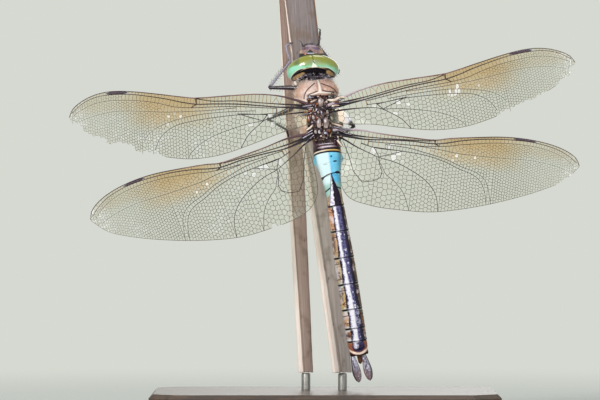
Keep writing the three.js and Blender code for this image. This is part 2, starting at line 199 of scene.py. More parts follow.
def capped(grid):
    # a grid whose first and last rows are single points becomes a closed skin
    rows, around = grid.shape[:2]
    body = grid[1:-1].reshape(-1, 3)
    faces = ringFaces(rows - 2, around)
    first, last = len(body), len(body) + 1
    body = np.vstack([body, grid[0, 0], grid[-1, 0]])
    for j in range(around):
        k = (j + 1) % around
        faces.append((first, k, j))
        faces.append((last, (rows - 3) * around + j, (rows - 3) * around + k))
    return body, faces


def limbRows(points, radii, sides=12, steps=24):
    # rings along a smooth line through a few points, their radii by share of its length
    points = [Vector(p) for p in points]
    size = profile(radii)
    spread = [0.0]
    for a, b in zip(points, points[1:]):
        spread.append(spread[-1] + (b - a).length)
    total = spread[-1]
    axes = [profile([[s / total, p[k]] for s, p in zip(spread, points)]) for k in range(3)]
    line = lambda t: Vector([axis(t) for axis in axes])
    rows = []
    for i in range(steps + 1):
        t = i / steps
        tangent = (line(min(t + 0.01, 1)) - line(max(t - 0.01, 0))).normalized()
        side = Vector((0, 1, 0)).cross(tangent).normalized()
        up = tangent.cross(side)
        r = size(t)
        rows.append([line(t) + side * (c * r) + up * (s * r) for c, s in ringOf(sides)])
    return rows


class Wire:
    # a socket that takes part in sums
    def __init__(self, tree, socket):
        self.tree, self.socket = tree, socket

    def sum(self, kind, *values, clamp=False):
        node = self.tree.nodes.new("ShaderNodeMath")
        node.operation, node.use_clamp = kind, clamp
        for spot, value in zip(node.inputs, values):
            feed(self.tree, spot, value)
        return Wire(self.tree, node.outputs[0])

    def __add__(self, other): return self.sum("ADD", self, other)
    def __radd__(self, other): return self.sum("ADD", other, self)
    def __sub__(self, other): return self.sum("SUBTRACT", self, other)
    def __rsub__(self, other): return self.sum("SUBTRACT", other, self)
    def __mul__(self, other): return self.sum("MULTIPLY", self, other)
    def __rmul__(self, other): return self.sum("MULTIPLY", other, self)
    def __truediv__(self, other): return self.sum("DIVIDE", self, other)
    def __pow__(self, other): return self.sum("POWER", self, other)

    def most(self, other): return self.sum("MAXIMUM", self, other)
    def size(self): return self.sum("ABSOLUTE", self)
    def wave(self): return self.sum("SINE", self)
    def held(self): return self.sum("ADD", self, 0.0, clamp=True)

    def step(self, low, high):
        # 0 below low, 1 above high, eased between
        node = self.tree.nodes.new("ShaderNodeMapRange")
        node.interpolation_type = "SMOOTHSTEP"
        rising = high >= low
        feed(self.tree, node.inputs["Value"], self)
        node.inputs["From Min"].default_value = low if rising else high
        node.inputs["From Max"].default_value = high if rising else low
        node.inputs["To Min"].default_value = 0.0 if rising else 1.0
        node.inputs["To Max"].default_value = 1.0 if rising else 0.0
        return Wire(self.tree, node.outputs["Result"])

    def near(self, middle, width, core=0.0):
        # 1 within core of middle, 0 a width away on both sides
        return (self - middle).size().step(width, core)

    def blend(self, first, second):
        # the first colour where this is 0, the second where it is 1
        node = self.tree.nodes.new("ShaderNodeMix")
        node.data_type = "RGBA"
        feed(self.tree, node.inputs[0], self)
        for spot, colour in ((6, first), (7, second)):
            feed(self.tree, node.inputs[spot], colour if isinstance(colour, Wire) else tone(*colour))
        return Wire(self.tree, node.outputs[2])


def coated(base, *coats):
    # each coat is (mask, colour), laid over the ones before it
    for mask, colour in coats:
        base = mask.blend(base, colour)
    return base


def feed(tree, socket, value):
    if isinstance(value, Wire):
        tree.links.new(value.socket, socket)
    elif isinstance(value, (tuple, list)) and hasattr(socket.default_value, "__len__"):
        socket.default_value = list(value)[:len(socket.default_value)]
    else:
        socket.default_value = value


class Finish:
    def __init__(self, name):
        self.material = bpy.data.materials.new(name)
        self.material.use_nodes = True
        self.tree = self.material.node_tree
        self.tree.nodes.clear()
        self.out = self.tree.nodes.new("ShaderNodeOutputMaterial")

    def node(self, kind, settings=None, sockets=None, output=0):
        made = self.tree.nodes.new(kind)
        for key, value in (settings or {}).items():
            setattr(made, key, value)
        for key, value in (sockets or {}).items():
            feed(self.tree, made.inputs[key], value)
        return Wire(self.tree, made.outputs[output])

    def place(self, scale=1.0, stretch=(1, 1, 1), centre=(0, 0, 0)):
        # where a point lies on the piece, in millimetres times scale
        where = self.node("ShaderNodeTexCoord", output="Object")
        return self.node("ShaderNodeMapping", {"vector_type": "POINT"},
            {"Vector": where, "Scale": tuple(1000 * scale * s for s in stretch), "Location": centre})

    def layer(self, name, output="Fac"):
        return self.node("ShaderNodeAttribute", {"attribute_name": name}, output=output)

    def parts(self, vector):
        split = self.tree.nodes.new("ShaderNodeSeparateXYZ")
        feed(self.tree, split.inputs[0], vector)
        return [Wire(self.tree, s) for s in split.outputs]

    def noise(self, vector, scale=1.0, detail=3.0, rough=0.55, warp=0.0):
        return self.node("ShaderNodeTexNoise", None,
            {"Vector": vector, "Scale": scale, "Detail": detail, "Roughness": rough, "Distortion": warp})

    def cells(self, vector, scale=1.0, feature="F1", output="Distance", jitter=1.0):
        return self.node("ShaderNodeTexVoronoi", {"feature": feature},
            {"Vector": vector, "Scale": scale, "Randomness": jitter}, output=output)

    def bump(self, height, depth, strength=1.0):
        return self.node("ShaderNodeBump", None,
            {"Height": height, "Distance": depth * mm, "Strength": strength}, output="Normal")

    def shine(self, **sockets):
        names = {"colour": "Base Color", "rough": "Roughness", "metal": "Metallic", "normal": "Normal",
            "coat": "Coat Weight", "coatRough": "Coat Roughness", "specular": "Specular IOR Level",
            "glow": "Emission Color", "glowStrength": "Emission Strength"}
        made = self.tree.nodes.new("ShaderNodeBsdfPrincipled")
        for key, value in sockets.items():
            feed(self.tree, made.inputs[names[key]], value)
        return Wire(self.tree, made.outputs[0])

    def done(self, shader):
        self.tree.links.new(shader.socket, self.out.inputs["Surface"])
        return self.material


def nodeTree(name, inputs):
    # an empty geometry tree with named inputs: {name: (kind, value)}
    tree = bpy.data.node_groups.new(name, "GeometryNodeTree")
    tree.interface.new_socket("Geometry", in_out="INPUT", socket_type="NodeSocketGeometry")
    for key, (kind, value) in inputs.items():
        made = tree.interface.new_socket(key, in_out="INPUT", socket_type="NodeSocket" + kind)
        if value is not None:
            made.default_value = value
    tree.interface.new_socket("Geometry", in_out="OUTPUT", socket_type="NodeSocketGeometry")
    return tree


def grow(tree, kind, settings=None, sockets=None):
    made = tree.nodes.new(kind)
    for key, value in (settings or {}).items():
        setattr(made, key, value)
    for key, value in (sockets or {}).items():
        if isinstance(value, bpy.types.NodeSocket):
            tree.links.new(value, made.inputs[key])
        else:
            made.inputs[key].default_value = value
    return made


def closeTree(tree, last, entry):
    # every tree ends in real copies with their finish
    real = grow(tree, "GeometryNodeRealizeInstances", None, {"Geometry": last.outputs[0]})
    dressed = grow(tree, "GeometryNodeSetMaterial", None,
        {"Geometry": real.outputs[0], "Material": entry.outputs["Finish"]})
    grow(tree, "NodeGroupOutput", None, {0: dressed.outputs[0]})


def applied(source, tree, values, name):
    # runs a tree on an object and returns the result as a plain mesh object
    live = source.modifiers.new("grow", "NODES")
    live.node_group = tree
    for item in tree.interface.items_tree:
        if item.item_type == "SOCKET" and item.in_out == "INPUT" and item.name in values:
            live[item.identifier] = values[item.name]
    ready = source.evaluated_get(bpy.context.evaluated_depsgraph_get())
    mesh = bpy.data.meshes.new_from_object(ready)
    mesh.name = name
    source.modifiers.remove(live)
    bpy.data.objects.remove(source)
    return shown(name, mesh)


view = {
    "middle": (-0.005, -1.009, 0.044),
    "lens": 300.0,
    "sensor": 36.0,
    "aim": (0, 0, 0.045),   # where the lamps point
}
studio = {
    "floorRadius": 8.0, "floorGap": 0.00005,    # the gap keeps the floor just under the stand
    "fade": (0.09, 0.32),                       # where the floor turns into plain backdrop
    "air": (0.93, 0.97, 1.0, 1), "airLight": 0.38,
}
backdrop = tone(214, 217, 209)

eyeData = bpy.data.cameras.new("camera")
eyeData.lens, eyeData.sensor_width = view["lens"], view["sensor"]
eyeData.clip_start, eyeData.clip_end = 0.01, 20
camera = shown("camera", eyeData)
camera.location = view["middle"]
camera.rotation_euler = (math.radians(90), 0, 0)
scene.camera = camera
scene.view_settings.view_transform = "Standard"

lamps = {
    "key": {"place": (-0.41, -0.62, 0.35), "size": 0.22, "watts": 4.0, "colour": (1.0, 0.98, 0.95)},
    "fill": {"place": (0.34, -0.78, 0.16), "size": 0.80, "watts": 1.6, "colour": (0.94, 0.97, 1.0)},
    "top": {"place": (0.06, 0.16, 0.62), "size": 0.34, "watts": 0.9, "colour": (0.95, 0.98, 1.0)},
    "rear": {"place": (0.12, 0.75, 0.25), "size": 0.45, "watts": 0.7, "colour": (1.0, 1.0, 1.0)},
}
for name, lamp in lamps.items():
    light = bpy.data.lights.new(name, "AREA")
    light.shape, light.size, light.energy, light.color = "DISK", lamp["size"], lamp["watts"], lamp["colour"]
    lit = shown(name, light)
    lit.location = lamp["place"]
    lit.rotation_euler = (Vector(view["aim"]) - Vector(lamp["place"])).to_track_quat("-Z", "Y").to_euler()

world = bpy.data.worlds.new("studio")
scene.world = world
world.use_nodes = True
tree = world.node_tree
tree.nodes.clear()
path = tree.nodes.new("ShaderNodeLightPath")
seen = tree.nodes.new("ShaderNodeBackground")
seen.inputs[0].default_value = backdrop
air = tree.nodes.new("ShaderNodeBackground")
air.inputs[0].default_value, air.inputs[1].default_value = studio["air"], studio["airLight"]
pick = tree.nodes.new("ShaderNodeMixShader")
either = tree.nodes.new("ShaderNodeMath")
either.operation = "MAXIMUM"
anyOf = tree.nodes.new("ShaderNodeMath")
anyOf.operation = "MAXIMUM"
tree.links.new(path.outputs["Is Camera Ray"], either.inputs[0])
tree.links.new(path.outputs["Is Transmission Ray"], either.inputs[1])
tree.links.new(either.outputs[0], anyOf.inputs[0])
tree.links.new(path.outputs["Is Glossy Ray"], anyOf.inputs[1])
tree.links.new(anyOf.outputs[0], pick.inputs[0])
tree.links.new(air.outputs[0], pick.inputs[1])
tree.links.new(seen.outputs[0], pick.inputs[2])
worldOut = tree.nodes.new("ShaderNodeOutputWorld")
tree.links.new(pick.outputs[0], worldOut.inputs[0])

floorFinish = Finish("studio_floor")
x, y, _ = floorFinish.parts(floorFinish.place(0.001))
away = (x * x + y * y) ** 0.5
rays = [floorFinish.node("ShaderNodeLightPath", output=f"Is {kind} Ray")
    for kind in ("Camera", "Glossy", "Transmission")]
lightPath = rays[0].most(rays[1]).most(rays[2])
matte = floorFinish.node("ShaderNodeBsdfDiffuse", None, {"Color": backdrop})
even = floorFinish.node("ShaderNodeEmission", None, {"Color": backdrop, "Strength": 1.0})
floorMaterial = floorFinish.done(floorFinish.node("ShaderNodeMixShader", None,
    {0: away.step(*studio["fade"]) * lightPath, 1: matte, 2: even}))
bpy.ops.mesh.primitive_circle_add(vertices=96, radius=studio["floorRadius"], fill_type="NGON",
    location=(0, 0, -studio["floorGap"]))
floor = bpy.context.object
floor.name = "floor"
floor.data.materials.append(floorMaterial)
floor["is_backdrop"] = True
print("camera, light and floor set")


# Places on a wing are shares of its span: s from the hinge to the tip, c towards the front edge.

wingShapes = {
    "fore": {
        "front": [[-0.03, -0.008], [0, 0], [0.05, 0.018], [0.12, 0.038], [0.21, 0.049], [0.33, 0.048],
            [0.467, 0.045], [0.52, 0.051], [0.62, 0.067], [0.72, 0.081], [0.81, 0.087], [0.88, 0.078],
            [0.94, 0.054], [0.985, 0.02], [1, -0.012]],
        "rear": [[-0.03, -0.075], [0.015, -0.088], [0.12, -0.113], [0.25, -0.155], [0.38, -0.19],
            [0.5, -0.2], [0.62, -0.184], [0.74, -0.154], [0.85, -0.117], [0.93, -0.082], [0.98, -0.045],
            [1, -0.012]],
        "veins": {  # front to rear, with the vein's height over the wing's middle plane in millimetres
            "subcosta": {"line": [[-0.03, -0.014], [0.05, -0.002], [0.1, 0.003], [0.2, 0.014], [0.3, 0.026],
                [0.4, 0.030], [0.467, 0.043]], "girth": 0.13, "lift": -0.2},
            "radius": {"line": [[-0.03, -0.022], [0.05, -0.013], [0.12, -0.008], [0.2, 0.002], [0.3, 0.013],
                [0.4, 0.018], [0.467, 0.02], [0.53, 0.031], [0.58, 0.044], [0.65, 0.058], [0.742, 0.072],
                [0.84, 0.073], [0.9, 0.062], [0.95, 0.038], [0.985, 0.008]], "girth": 0.15, "lift": 0.22},
            "radialFork": {"line": [[0.13, -0.012], [0.2, -0.006], [0.3, 0.003], [0.4, 0.006],
                [0.49, 0.007], [0.556, 0.013], [0.617, 0.029], [0.677, 0.041], [0.744, 0.048], [0.83, 0.05],
                [0.9, 0.038], [0.96, 0.01], [0.985, -0.008]], "girth": 0.09, "lift": -0.14},
            "middleFork": {"line": [[0.3, -0.002], [0.4, -0.007], [0.5, -0.008], [0.6, -0.006],
                [0.7, 0.002], [0.8, 0.006], [0.88, -0.005], [0.95, -0.026], [0.975, -0.04]], "girth": 0.075,
                "lift": 0.06},
            "rearFork": {"line": [[0.22, -0.018], [0.35, -0.017], [0.47, -0.024], [0.55, -0.039], [0.62,
                -0.061], [0.66, -0.083], [0.69, -0.118], [0.7, -0.165]], "girth": 0.075, "lift": -0.1},
            "media": {"line": [[0.13, -0.031], [0.2, -0.033], [0.29, -0.031], [0.4, -0.038], [0.48, -0.047],
                [0.555, -0.062], [0.6, -0.086], [0.63, -0.117], [0.65, -0.16], [0.657, -0.182]],
                "girth": 0.085, "lift": 0.12},
            "rearMedia": {"line": [[0.19, -0.06], [0.26, -0.071], [0.33, -0.089], [0.4, -0.112],
                [0.46, -0.143], [0.5, -0.178], [0.512, -0.2]], "girth": 0.07, "lift": -0.08},
            "cubitus": {"line": [[-0.03, -0.034], [0.05, -0.035], [0.12, -0.042], [0.18, -0.056],
                [0.22, -0.084], [0.26, -0.12], [0.29, -0.168]], "girth": 0.09, "lift": 0.08},
        },
        "nodus": 0.467,
        "triangle": [[0.172, -0.036], [0.3, -0.026], [0.192, -0.06]],
        "ties": [[[0.13, -0.01], [0.135, -0.032]], [[0.172, -0.034], [0.192, -0.06]]],
    },
    "hind": {
        "front": [[-0.025, -0.006], [0, 0], [0.09, 0.0135], [0.2, 0.012], [0.31, 0.014], [0.4, 0.018],
            [0.46, 0.034], [0.57, 0.055], [0.68, 0.072], [0.78, 0.076], [0.87, 0.067], [0.94, 0.047],
            [0.985, 0.018], [1, -0.012]],
        "rear": [[-0.025, -0.034], [0.014, -0.04], [0.027, -0.13], [0.043, -0.215], [0.088, -0.275],
            [0.17, -0.302], [0.3, -0.303], [0.42, -0.293], [0.54, -0.263], [0.66, -0.222], [0.78, -0.172],
            [0.88, -0.122], [0.95, -0.076], [1, -0.012]],
        "veins": {
            "subcosta": {"line": [[-0.025, -0.009], [0.03, -0.009], [0.08, -0.01], [0.13, -0.008],
                [0.2, -0.003], [0.3, 0.006], [0.37, 0.012], [0.4, 0.017]], "girth": 0.13, "lift": -0.2},
            "radius": {"line": [[-0.025, -0.014], [0.05, -0.02], [0.12, -0.022], [0.2, -0.012],
                [0.3, -0.002], [0.4, 0.001], [0.45, 0.012], [0.5, 0.028], [0.56, 0.043], [0.62, 0.054],
                [0.7, 0.063], [0.76, 0.066], [0.82, 0.064], [0.9, 0.049], [0.95, 0.027], [0.985, 0.002]],
                "girth": 0.15, "lift": 0.22},
            "radialFork": {"line": [[0.13, -0.027], [0.2, -0.023], [0.3, -0.017], [0.36, -0.013],
                [0.4, -0.008], [0.46, 0.002], [0.5, 0.013], [0.56, 0.026], [0.63, 0.04], [0.7, 0.048],
                [0.78, 0.05], [0.86, 0.042], [0.93, 0.018], [0.975, -0.01]], "girth": 0.09, "lift": -0.14},
            "middleFork": {"line": [[0.32, -0.018], [0.4, -0.019], [0.45, -0.022], [0.5, -0.026],
                [0.6, -0.024], [0.7, -0.019], [0.8, -0.014], [0.9, -0.024], [0.96, -0.04]], "girth": 0.075,
                "lift": 0.06},
            "rearFork": {"line": [[0.2, -0.03], [0.3, -0.031], [0.36, -0.04], [0.45, -0.056], [0.52, -0.08],
                [0.58, -0.096], [0.62, -0.122], [0.64, -0.16], [0.65, -0.205], [0.655, -0.226]],
                "girth": 0.08, "lift": -0.1},
            "media": {"line": [[0.1, -0.04], [0.16, -0.052], [0.27, -0.05], [0.37, -0.054], [0.45, -0.07],
                [0.51, -0.092], [0.565, -0.108], [0.6, -0.13], [0.62, -0.163], [0.632, -0.2],
                [0.637, -0.232]], "girth": 0.09, "lift": 0.12},
            "rearMedia": {"line": [[-0.025, -0.022], [0.03, -0.034], [0.08, -0.055], [0.14, -0.077],
                [0.18, -0.09], [0.24, -0.099], [0.29, -0.114], [0.37, -0.154], [0.42, -0.202],
                [0.44, -0.252], [0.445, -0.288]], "girth": 0.09, "lift": -0.08},
            "cubitus": {"line": [[0.17, -0.094], [0.195, -0.125], [0.215, -0.158], [0.26, -0.19],
                [0.3, -0.236], [0.327, -0.302]], "girth": 0.07, "lift": 0.08},
        },
        "nodus": 0.4,
        "triangle": [[0.155, -0.05], [0.275, -0.05], [0.18, -0.088]],
        "ties": [[[0.13, -0.024], [0.128, -0.045]], [[0.155, -0.05], [0.18, -0.088]], [[0.18, -0.09],
            [0.185, -0.12], [0.2, -0.15], [0.195, -0.178], [0.165, -0.196], [0.125, -0.205]],
            [[0.03, -0.045], [0.06, -0.1], [0.085, -0.16], [0.125, -0.205]]],
    },
}
# hinge, span, slope, near and pitch place the wing; tears are missing pieces of the margin;
# worn says how whitened and hazy it is, the haze partly a painted sheen; spot is the dark cell run near the
# tip.
wingSet = {
    "wing_fore_right": {
        "kind": "fore", "side": 1, "hinge": (1.75, -10.5, 63.4), "span": 49.0, "slope": 9.5, "near": -4,
        "pitch": 22, "worn": 0.55,
        "spot": (0.742, 0.84),
        "tears": [[[0.62, -0.2], [0.66, -0.166], [0.73, -0.141], [0.79, -0.135], [0.85, -0.11],
            [0.9, -0.13]], [[0.88, -0.13], [0.925, -0.072], [0.965, -0.066], [0.972, -0.04],
            [0.968, -0.022], [1.03, -0.03]]]},
    "wing_hind_right": {
        "kind": "hind", "side": 1, "hinge": (2.6, -9.9, 58.0), "span": 48.9, "slope": -8.5, "near": -4,
        "pitch": 20, "worn": 0.4,
        "spot": (0.718, 0.817),
        "tears": [[[0.9, -0.12], [0.945, -0.065], [0.975, -0.047], [1.02, -0.06]]]},
    "wing_fore_left": {
        "kind": "fore", "side": -1, "hinge": (-3.4, -10.5, 63.2), "span": 49.0, "slope": -3, "near": 14,
        "pitch": 0, "worn": 0.9,
        "spot": (0.749, 0.844),
        "tears": [[[0.6, -0.21], [0.62, -0.175], [0.67, -0.162], [0.725, -0.156], [0.74, -0.13],
            [0.8, -0.112], [0.86, -0.14]], [[0.83, -0.14], [0.85, -0.1], [0.9, -0.085], [0.94, -0.061],
            [0.958, -0.031], [0.99, -0.025], [1.03, -0.06]]]},
    "wing_hind_left": {
        "kind": "hind", "side": -1, "hinge": (-3.3, -9.9, 57.2), "span": 49.0, "slope": -21.2, "near": 18,
        "pitch": 0, "worn": 0.8,
        "spot": (0.721, 0.821),
        "tears": [[[0.24, -0.32], [0.255, -0.294], [0.29, -0.297], [0.3, -0.32]]]},
}
wingLook = {
    "bend": 0.035,  # how far a tip curves back, as a share of the span
    # usual width of a cell, by its place along the span, as shares of the span
    "cell": [[0, 0.025], [0.2, 0.0235], [0.32, 0.0185], [0.45, 0.016], [0.6, 0.0133], [0.75, 0.0118],
        [1, 0.011]],
    # fields that hold one row of cells, and how far out; then the row's pace
    "singleRow": {("front", "subcosta"): (1, 0.0157), ("subcosta", "radius"): (1, 0.0157),
        ("front", "radius"): (1, 0.0135), ("radius", "radialFork"): (0.78, 0.0155),
        ("radialFork", "middleFork"): (0.62, 0.0145), ("rearFork", "media"): (0.6, 0.0125)},
    "fineVein": 0.036,  # radius of the thinnest veins, in millimetres
    "dome": 0.035,       # how far a cell's film bulges
    "sink": 0.25,        # how far a wing's middle plane lies off its hinge line
    "reach": 0.07,       # half the square that each cell is cut from, as a share of the span
    "rounds": 3,         # how often the cells are cut, each time from the middles of the last
    "veinShare": 0.86, "edge": 0.13, "rim": 0.055, "tie": 0.075,    # radii of the stronger veins
    "notch": (0.15, 0.2, 0.13, 0.11, 0.1),
    "spotRows": 24, "spotSides": 12, "spotDepth": 0.13, "spotInset": 0.0012, "spotSlant": 0.006,
}

veinKinds = {"net": 0, "long": 1, "crossing": 2, "edge": 3, "notch": 4}     # read by the veins' finish
cellEdges = {"square": -1, "vein": -2, "end": -3}     # what a cell's edge lies on; from 0 up, a neighbour


def wingFrame(wing):
    a, b = math.radians(wing["slope"]), math.radians(wing["near"])
    side, span = wing["side"], wing["span"]
    along = Vector((side * math.cos(a) * math.cos(b), -math.sin(b), math.sin(a) * math.cos(b)))
    flatChord = Vector((-side * math.sin(a), 0, math.cos(a)))
    hinge = Vector(wing["hinge"])

    def place(s, c, lift=0.0):
        turned = Matrix.Rotation(-side * math.radians(wing["pitch"]) * ease(s, -0.02, 0.16), 3, along)
        chord = turned @ flatChord
        back = along.cross(chord) * side
        return (hinge + along * (s * span) + chord * (c * span)
            + back * (wingLook["bend"] * span * s * s - wingLook["sink"] + lift))
    return place


def clip(shape, px, py, nx, ny, mark):
    # keeps the side of a line towards -n; each corner is (x, y, mark of the edge that starts there)
    out = []
    count = len(shape)
    for i in range(count):
        ax, ay, am = shape[i]
        bx, by, _ = shape[(i + 1) % count]
        da = (ax - px) * nx + (ay - py) * ny
        db = (bx - px) * nx + (by - py) * ny
        if da <= 0:
            out.append((ax, ay, am))
            if db > 0:
                t = da / (da - db)
                out.append((ax + (bx - ax) * t, ay + (by - ay) * t, mark))
        elif db <= 0:
            t = da / (da - db)
            out.append((ax + (bx - ax) * t, ay + (by - ay) * t, am))
    return out


def wingFields(shape):
    # the strips between neighbouring long veins, each as (upper, lower, from, to)
    names = ["front"] + list(shape["veins"]) + ["rear"]
    lines = {"front": shape["front"], "rear": shape["rear"]}
    lines.update({n: v["line"] for n, v in shape["veins"].items()})
    curves = {n: profile(lines[n]) for n in names}
    reach = {n: (lines[n][0][0], lines[n][-1][0]) for n in names}

    def stack(s):
        here, last = [], 1e9
        for n in names:
            if reach[n][0] <= s <= reach[n][1]:
                c = curves[n](s)
                if n != "front" and c > last - 0.0018:
                    if n == "rear":
                        c = min(c, last)
                    else:
                        continue
                here.append((n, c))
                last = c
        rear = curves["rear"](s)
        return [h for h in here if h[0] in ("front", "rear") or h[1] > rear + 0.002]
    fields, begun = [], {}
    s, step = shape["front"][0][0] + 0.002, 0.0025
    while s < 0.996:
        here = stack(s)
        pairs = [(a[0], b[0]) for a, b in zip(here, here[1:])]
        for pair in list(begun):
            if pair not in pairs:
                fields.append((*pair, begun.pop(pair), s - step / 2))
        for pair in pairs:
            begun.setdefault(pair, s - step / 2)
        s += step
    fields += [(*pair, start, 0.9985) for pair, start in begun.items()]
    return curves, fields, stack


def nearestOn(curve, s, c, reach=0.02):
    # the closest place on a vein to (s, c), with its direction
    best = None
    for i in range(-8, 9):
        x = s + reach * i / 8
        y = curve(x)
        d = (x - s) ** 2 + (y - c) ** 2
        if best is None or d < best[0]:
            best = (d, x, y)
    x = best[1]
    dy = (curve(x + 0.001) - curve(x - 0.001)) / 0.002
    length = math.hypot(1, dy)
    return x, curve(x), 1 / length, dy / length


def wingCells(shape, seedNumber):
    # every cell of one wing, with the place of its middle, its corners and the marks of its edges
    rng = random.Random(seedNumber)
    curves, fields, stack = wingFields(shape)
    cellSize = profile(wingLook["cell"])
    cells = []
    for upper, lower, start, end in fields:
        if end - start < 0.004:
            continue
        high, low = curves[upper], curves[lower]
        seeds = []
        s, odd = start + 0.004, 0
        while s < end:
            width = high(s) - low(s)
            pace = size = cellSize(s)
            limit, single = wingLook["singleRow"].get((upper, lower), (-1, 0))
            front = s < limit and width < size * 2.6
            if front:
                pace = 0.06 if upper == "radius" and s < 0.13 else single
            rows = 1 if front else max(1, round(width / size))
            for i in range(rows):
                t = (i + 0.5 + (0.25 if odd else -0.25) * (rows > 1)) / rows
                t = min(max(t + rng.uniform(-0.16, 0.16) / rows, 0.2 / rows), 1 - 0.2 / rows)
                seeds.append(
                    (s + rng.uniform(-0.2, 0.2) * pace * (0.5 if front else 1), high(s) - t * width))
            s += pace * (0.88 if rows > 1 else 1.0)
            odd = 1 - odd
        if not seeds:
            continue
        for turn in range(wingLook["rounds"]):
            spots = np.array(seeds)
            made, middles = [], []
            for i, (x, y) in enumerate(seeds):
                gaps = ((spots - (x, y)) ** 2).sum(1)
                order = np.argsort(gaps)[1:15]
                r = wingLook["reach"]
                corners = ((x - r, y - r), (x + r, y - r), (x + r, y + r), (x - r, y + r))
                cell = [(*corner, cellEdges["square"]) for corner in corners]
                for j in order:
                    ox, oy = spots[j]
                    dx, dy = ox - x, oy - y
                    length = math.hypot(dx, dy)
                    if length < 1e-7:
                        continue
                    cell = clip(cell, (x + ox) / 2, (y + oy) / 2, dx / length, dy / length, int(j))
                for curve, sign in ((high, 1), (low, -1)):
                    qx, qy, tx, ty = nearestOn(curve, x, y)
                    cell = clip(cell, qx, qy, -ty * sign, tx * sign, cellEdges["vein"])
                cell = clip(cell, start, 0, -1, 0, cellEdges["end"])
                cell = clip(cell, end, 0, 1, 0, cellEdges["end"])
                if len(cell) >= 3:
                    mx = sum(p[0] for p in cell) / len(cell)
                    my = sum(p[1] for p in cell) / len(cell)
                    made.append((i, (mx, my), cell))
                    middles.append((mx, my))
                else:
                    middles.append((x, y))
            if turn < wingLook["rounds"] - 1:
                seeds = [((m[0] + o[0]) / 2, (m[1] + o[1]) / 2) for m, o in zip(middles, seeds)]
        cells += [(upper, lower, i, middle, cell) for i, middle, cell in made]
    return curves, stack, cells


def inside(x, y, outline):
    hit = False
    for (x0, y0), (x1, y1) in zip(outline, outline[1:] + outline[:1]):
        if (y0 > y) != (y1 > y) and x < (x1 - x0) * (y - y0) / (y1 - y0) + x0:
            hit = not hit
    return hit


def wingLift(shape, stack, s, c):
    # the wing is pleated: long veins stand on ridges or in valleys, and the film joins them
    here = stack(min(max(s, shape["front"][0][0] + 0.003), 0.995))
    lifts = {n: v["lift"] for n, v in shape["veins"].items()}
    fade = 1 - 0.75 * ease(s, 0.3, 1.0)
    for (a, ca), (b, cb) in zip(here, here[1:]):
        if c >= cb or b == "rear":
            t = min(max((ca - c) / max(ca - cb, 1e-5), 0), 1)
            la, lb = lifts.get(a, 0.1 if a == "front" else 0.0), lifts.get(b, 0.0)
            return fade * (la + (lb - la) * t)
    return 0.0


veinTree = nodeTree("wing_veins", {"Sides": ("Int", 5), "Finish": ("Material", None)})
entry = grow(veinTree, "NodeGroupInput")
tracks = grow(veinTree, "GeometryNodeMeshToCurve", None, {"Mesh": entry.outputs["Geometry"]})
girth = grow(veinTree, "GeometryNodeInputNamedAttribute", {"data_type": "FLOAT"}, {"Name": "girth"})
thick = grow(veinTree, "GeometryNodeSetCurveRadius", None,
    {"Curve": tracks.outputs[0], "Radius": girth.outputs["Attribute"]})
ring = grow(veinTree, "GeometryNodeCurvePrimitiveCircle", None,
    {"Resolution": entry.outputs["Sides"], "Radius": 1.0})
skinned = grow(veinTree, "GeometryNodeCurveToMesh", None,
    {"Curve": thick.outputs[0], "Profile Curve": ring.outputs["Curve"],
     "Scale": girth.outputs["Attribute"], "Fill Caps": True})
smoothed = grow(veinTree, "GeometryNodeSetShadeSmooth", None, {"Geometry": skinned.outputs[0]})
closeTree(veinTree, smoothed, entry)


def veinMesh(name, runs, finish, sides=5):
    # runs: lists of (point, radius, s, c, kind); each becomes a round vein
    points, edges, girths, shares = [], [], [], []
    for run in runs:
        for i, (p, r, s, c, kind) in enumerate(run):
            if i:
                edges.append((len(points) - 1, len(points)))
            points.append(tuple(v * mm for v in p))
            girths.append(r * mm)
            shares.append((s, c, kind))
    mesh = bpy.data.meshes.new(name)
    mesh.from_pydata(points, edges, [])
    keep(mesh, "girth", girths)
    keep(mesh, "shares", shares)
    return applied(shown(name + "_lines", mesh), veinTree, {"Sides": sides, "Finish": finish}, name)


veinFinish = Finish("wing_vein")
share = veinFinish.parts(veinFinish.layer("shares", "Vector"))
grain = veinFinish.noise(veinFinish.place(), 1.6, 3)
speck = veinFinish.noise(veinFinish.place(), 0.45, 2)
dark = speck.step(0.35, 0.7).blend((30, 20, 30), (78, 56, 68))
dark = share[0].step(0.12, 0.02).blend(dark, (28, 20, 30))
edge = speck.step(0.35, 0.65).blend((112, 76, 74), (150, 116, 116))
# on the right wings the front edge near the root is painted pale lilac, a painted glint
rightGlint = veinFinish.parts(veinFinish.place())[0].step(-2.0, 1.0)
edge = coated(edge,
    (share[0].step(0.25, 0.1), rightGlint.blend((92, 64, 70), (196, 176, 186))),
    (share[0].step(0.5, 0.62), (74, 50, 52)))
net = grain.step(0.3, 0.7).blend((112, 98, 78), (70, 58, 54))
amber = grain.step(0.35, 0.65).blend((196, 160, 100), (142, 106, 62))
worn = share[0].step(0.72, 0.98)
net = (worn * 0.75).blend(net, (150, 138, 128))
isLong, isCross, isEdge, isMark = [share[2].near(float(veinKinds[kind]), 0.5)
    for kind in ("long", "crossing", "edge", "notch")]
colour = coated(isLong.blend(net, dark),
    (isCross * share[0].step(0.8, 0.56) * share[1].step(-0.1, -0.03), amber),
    (isEdge, edge),
    (isMark, (64, 30, 30)))
veinMaterial = veinFinish.done(
    veinFinish.shine(colour=colour, rough=0.3 + grain * 0.2, coat=0.3, coatRough=0.15, specular=0.3))

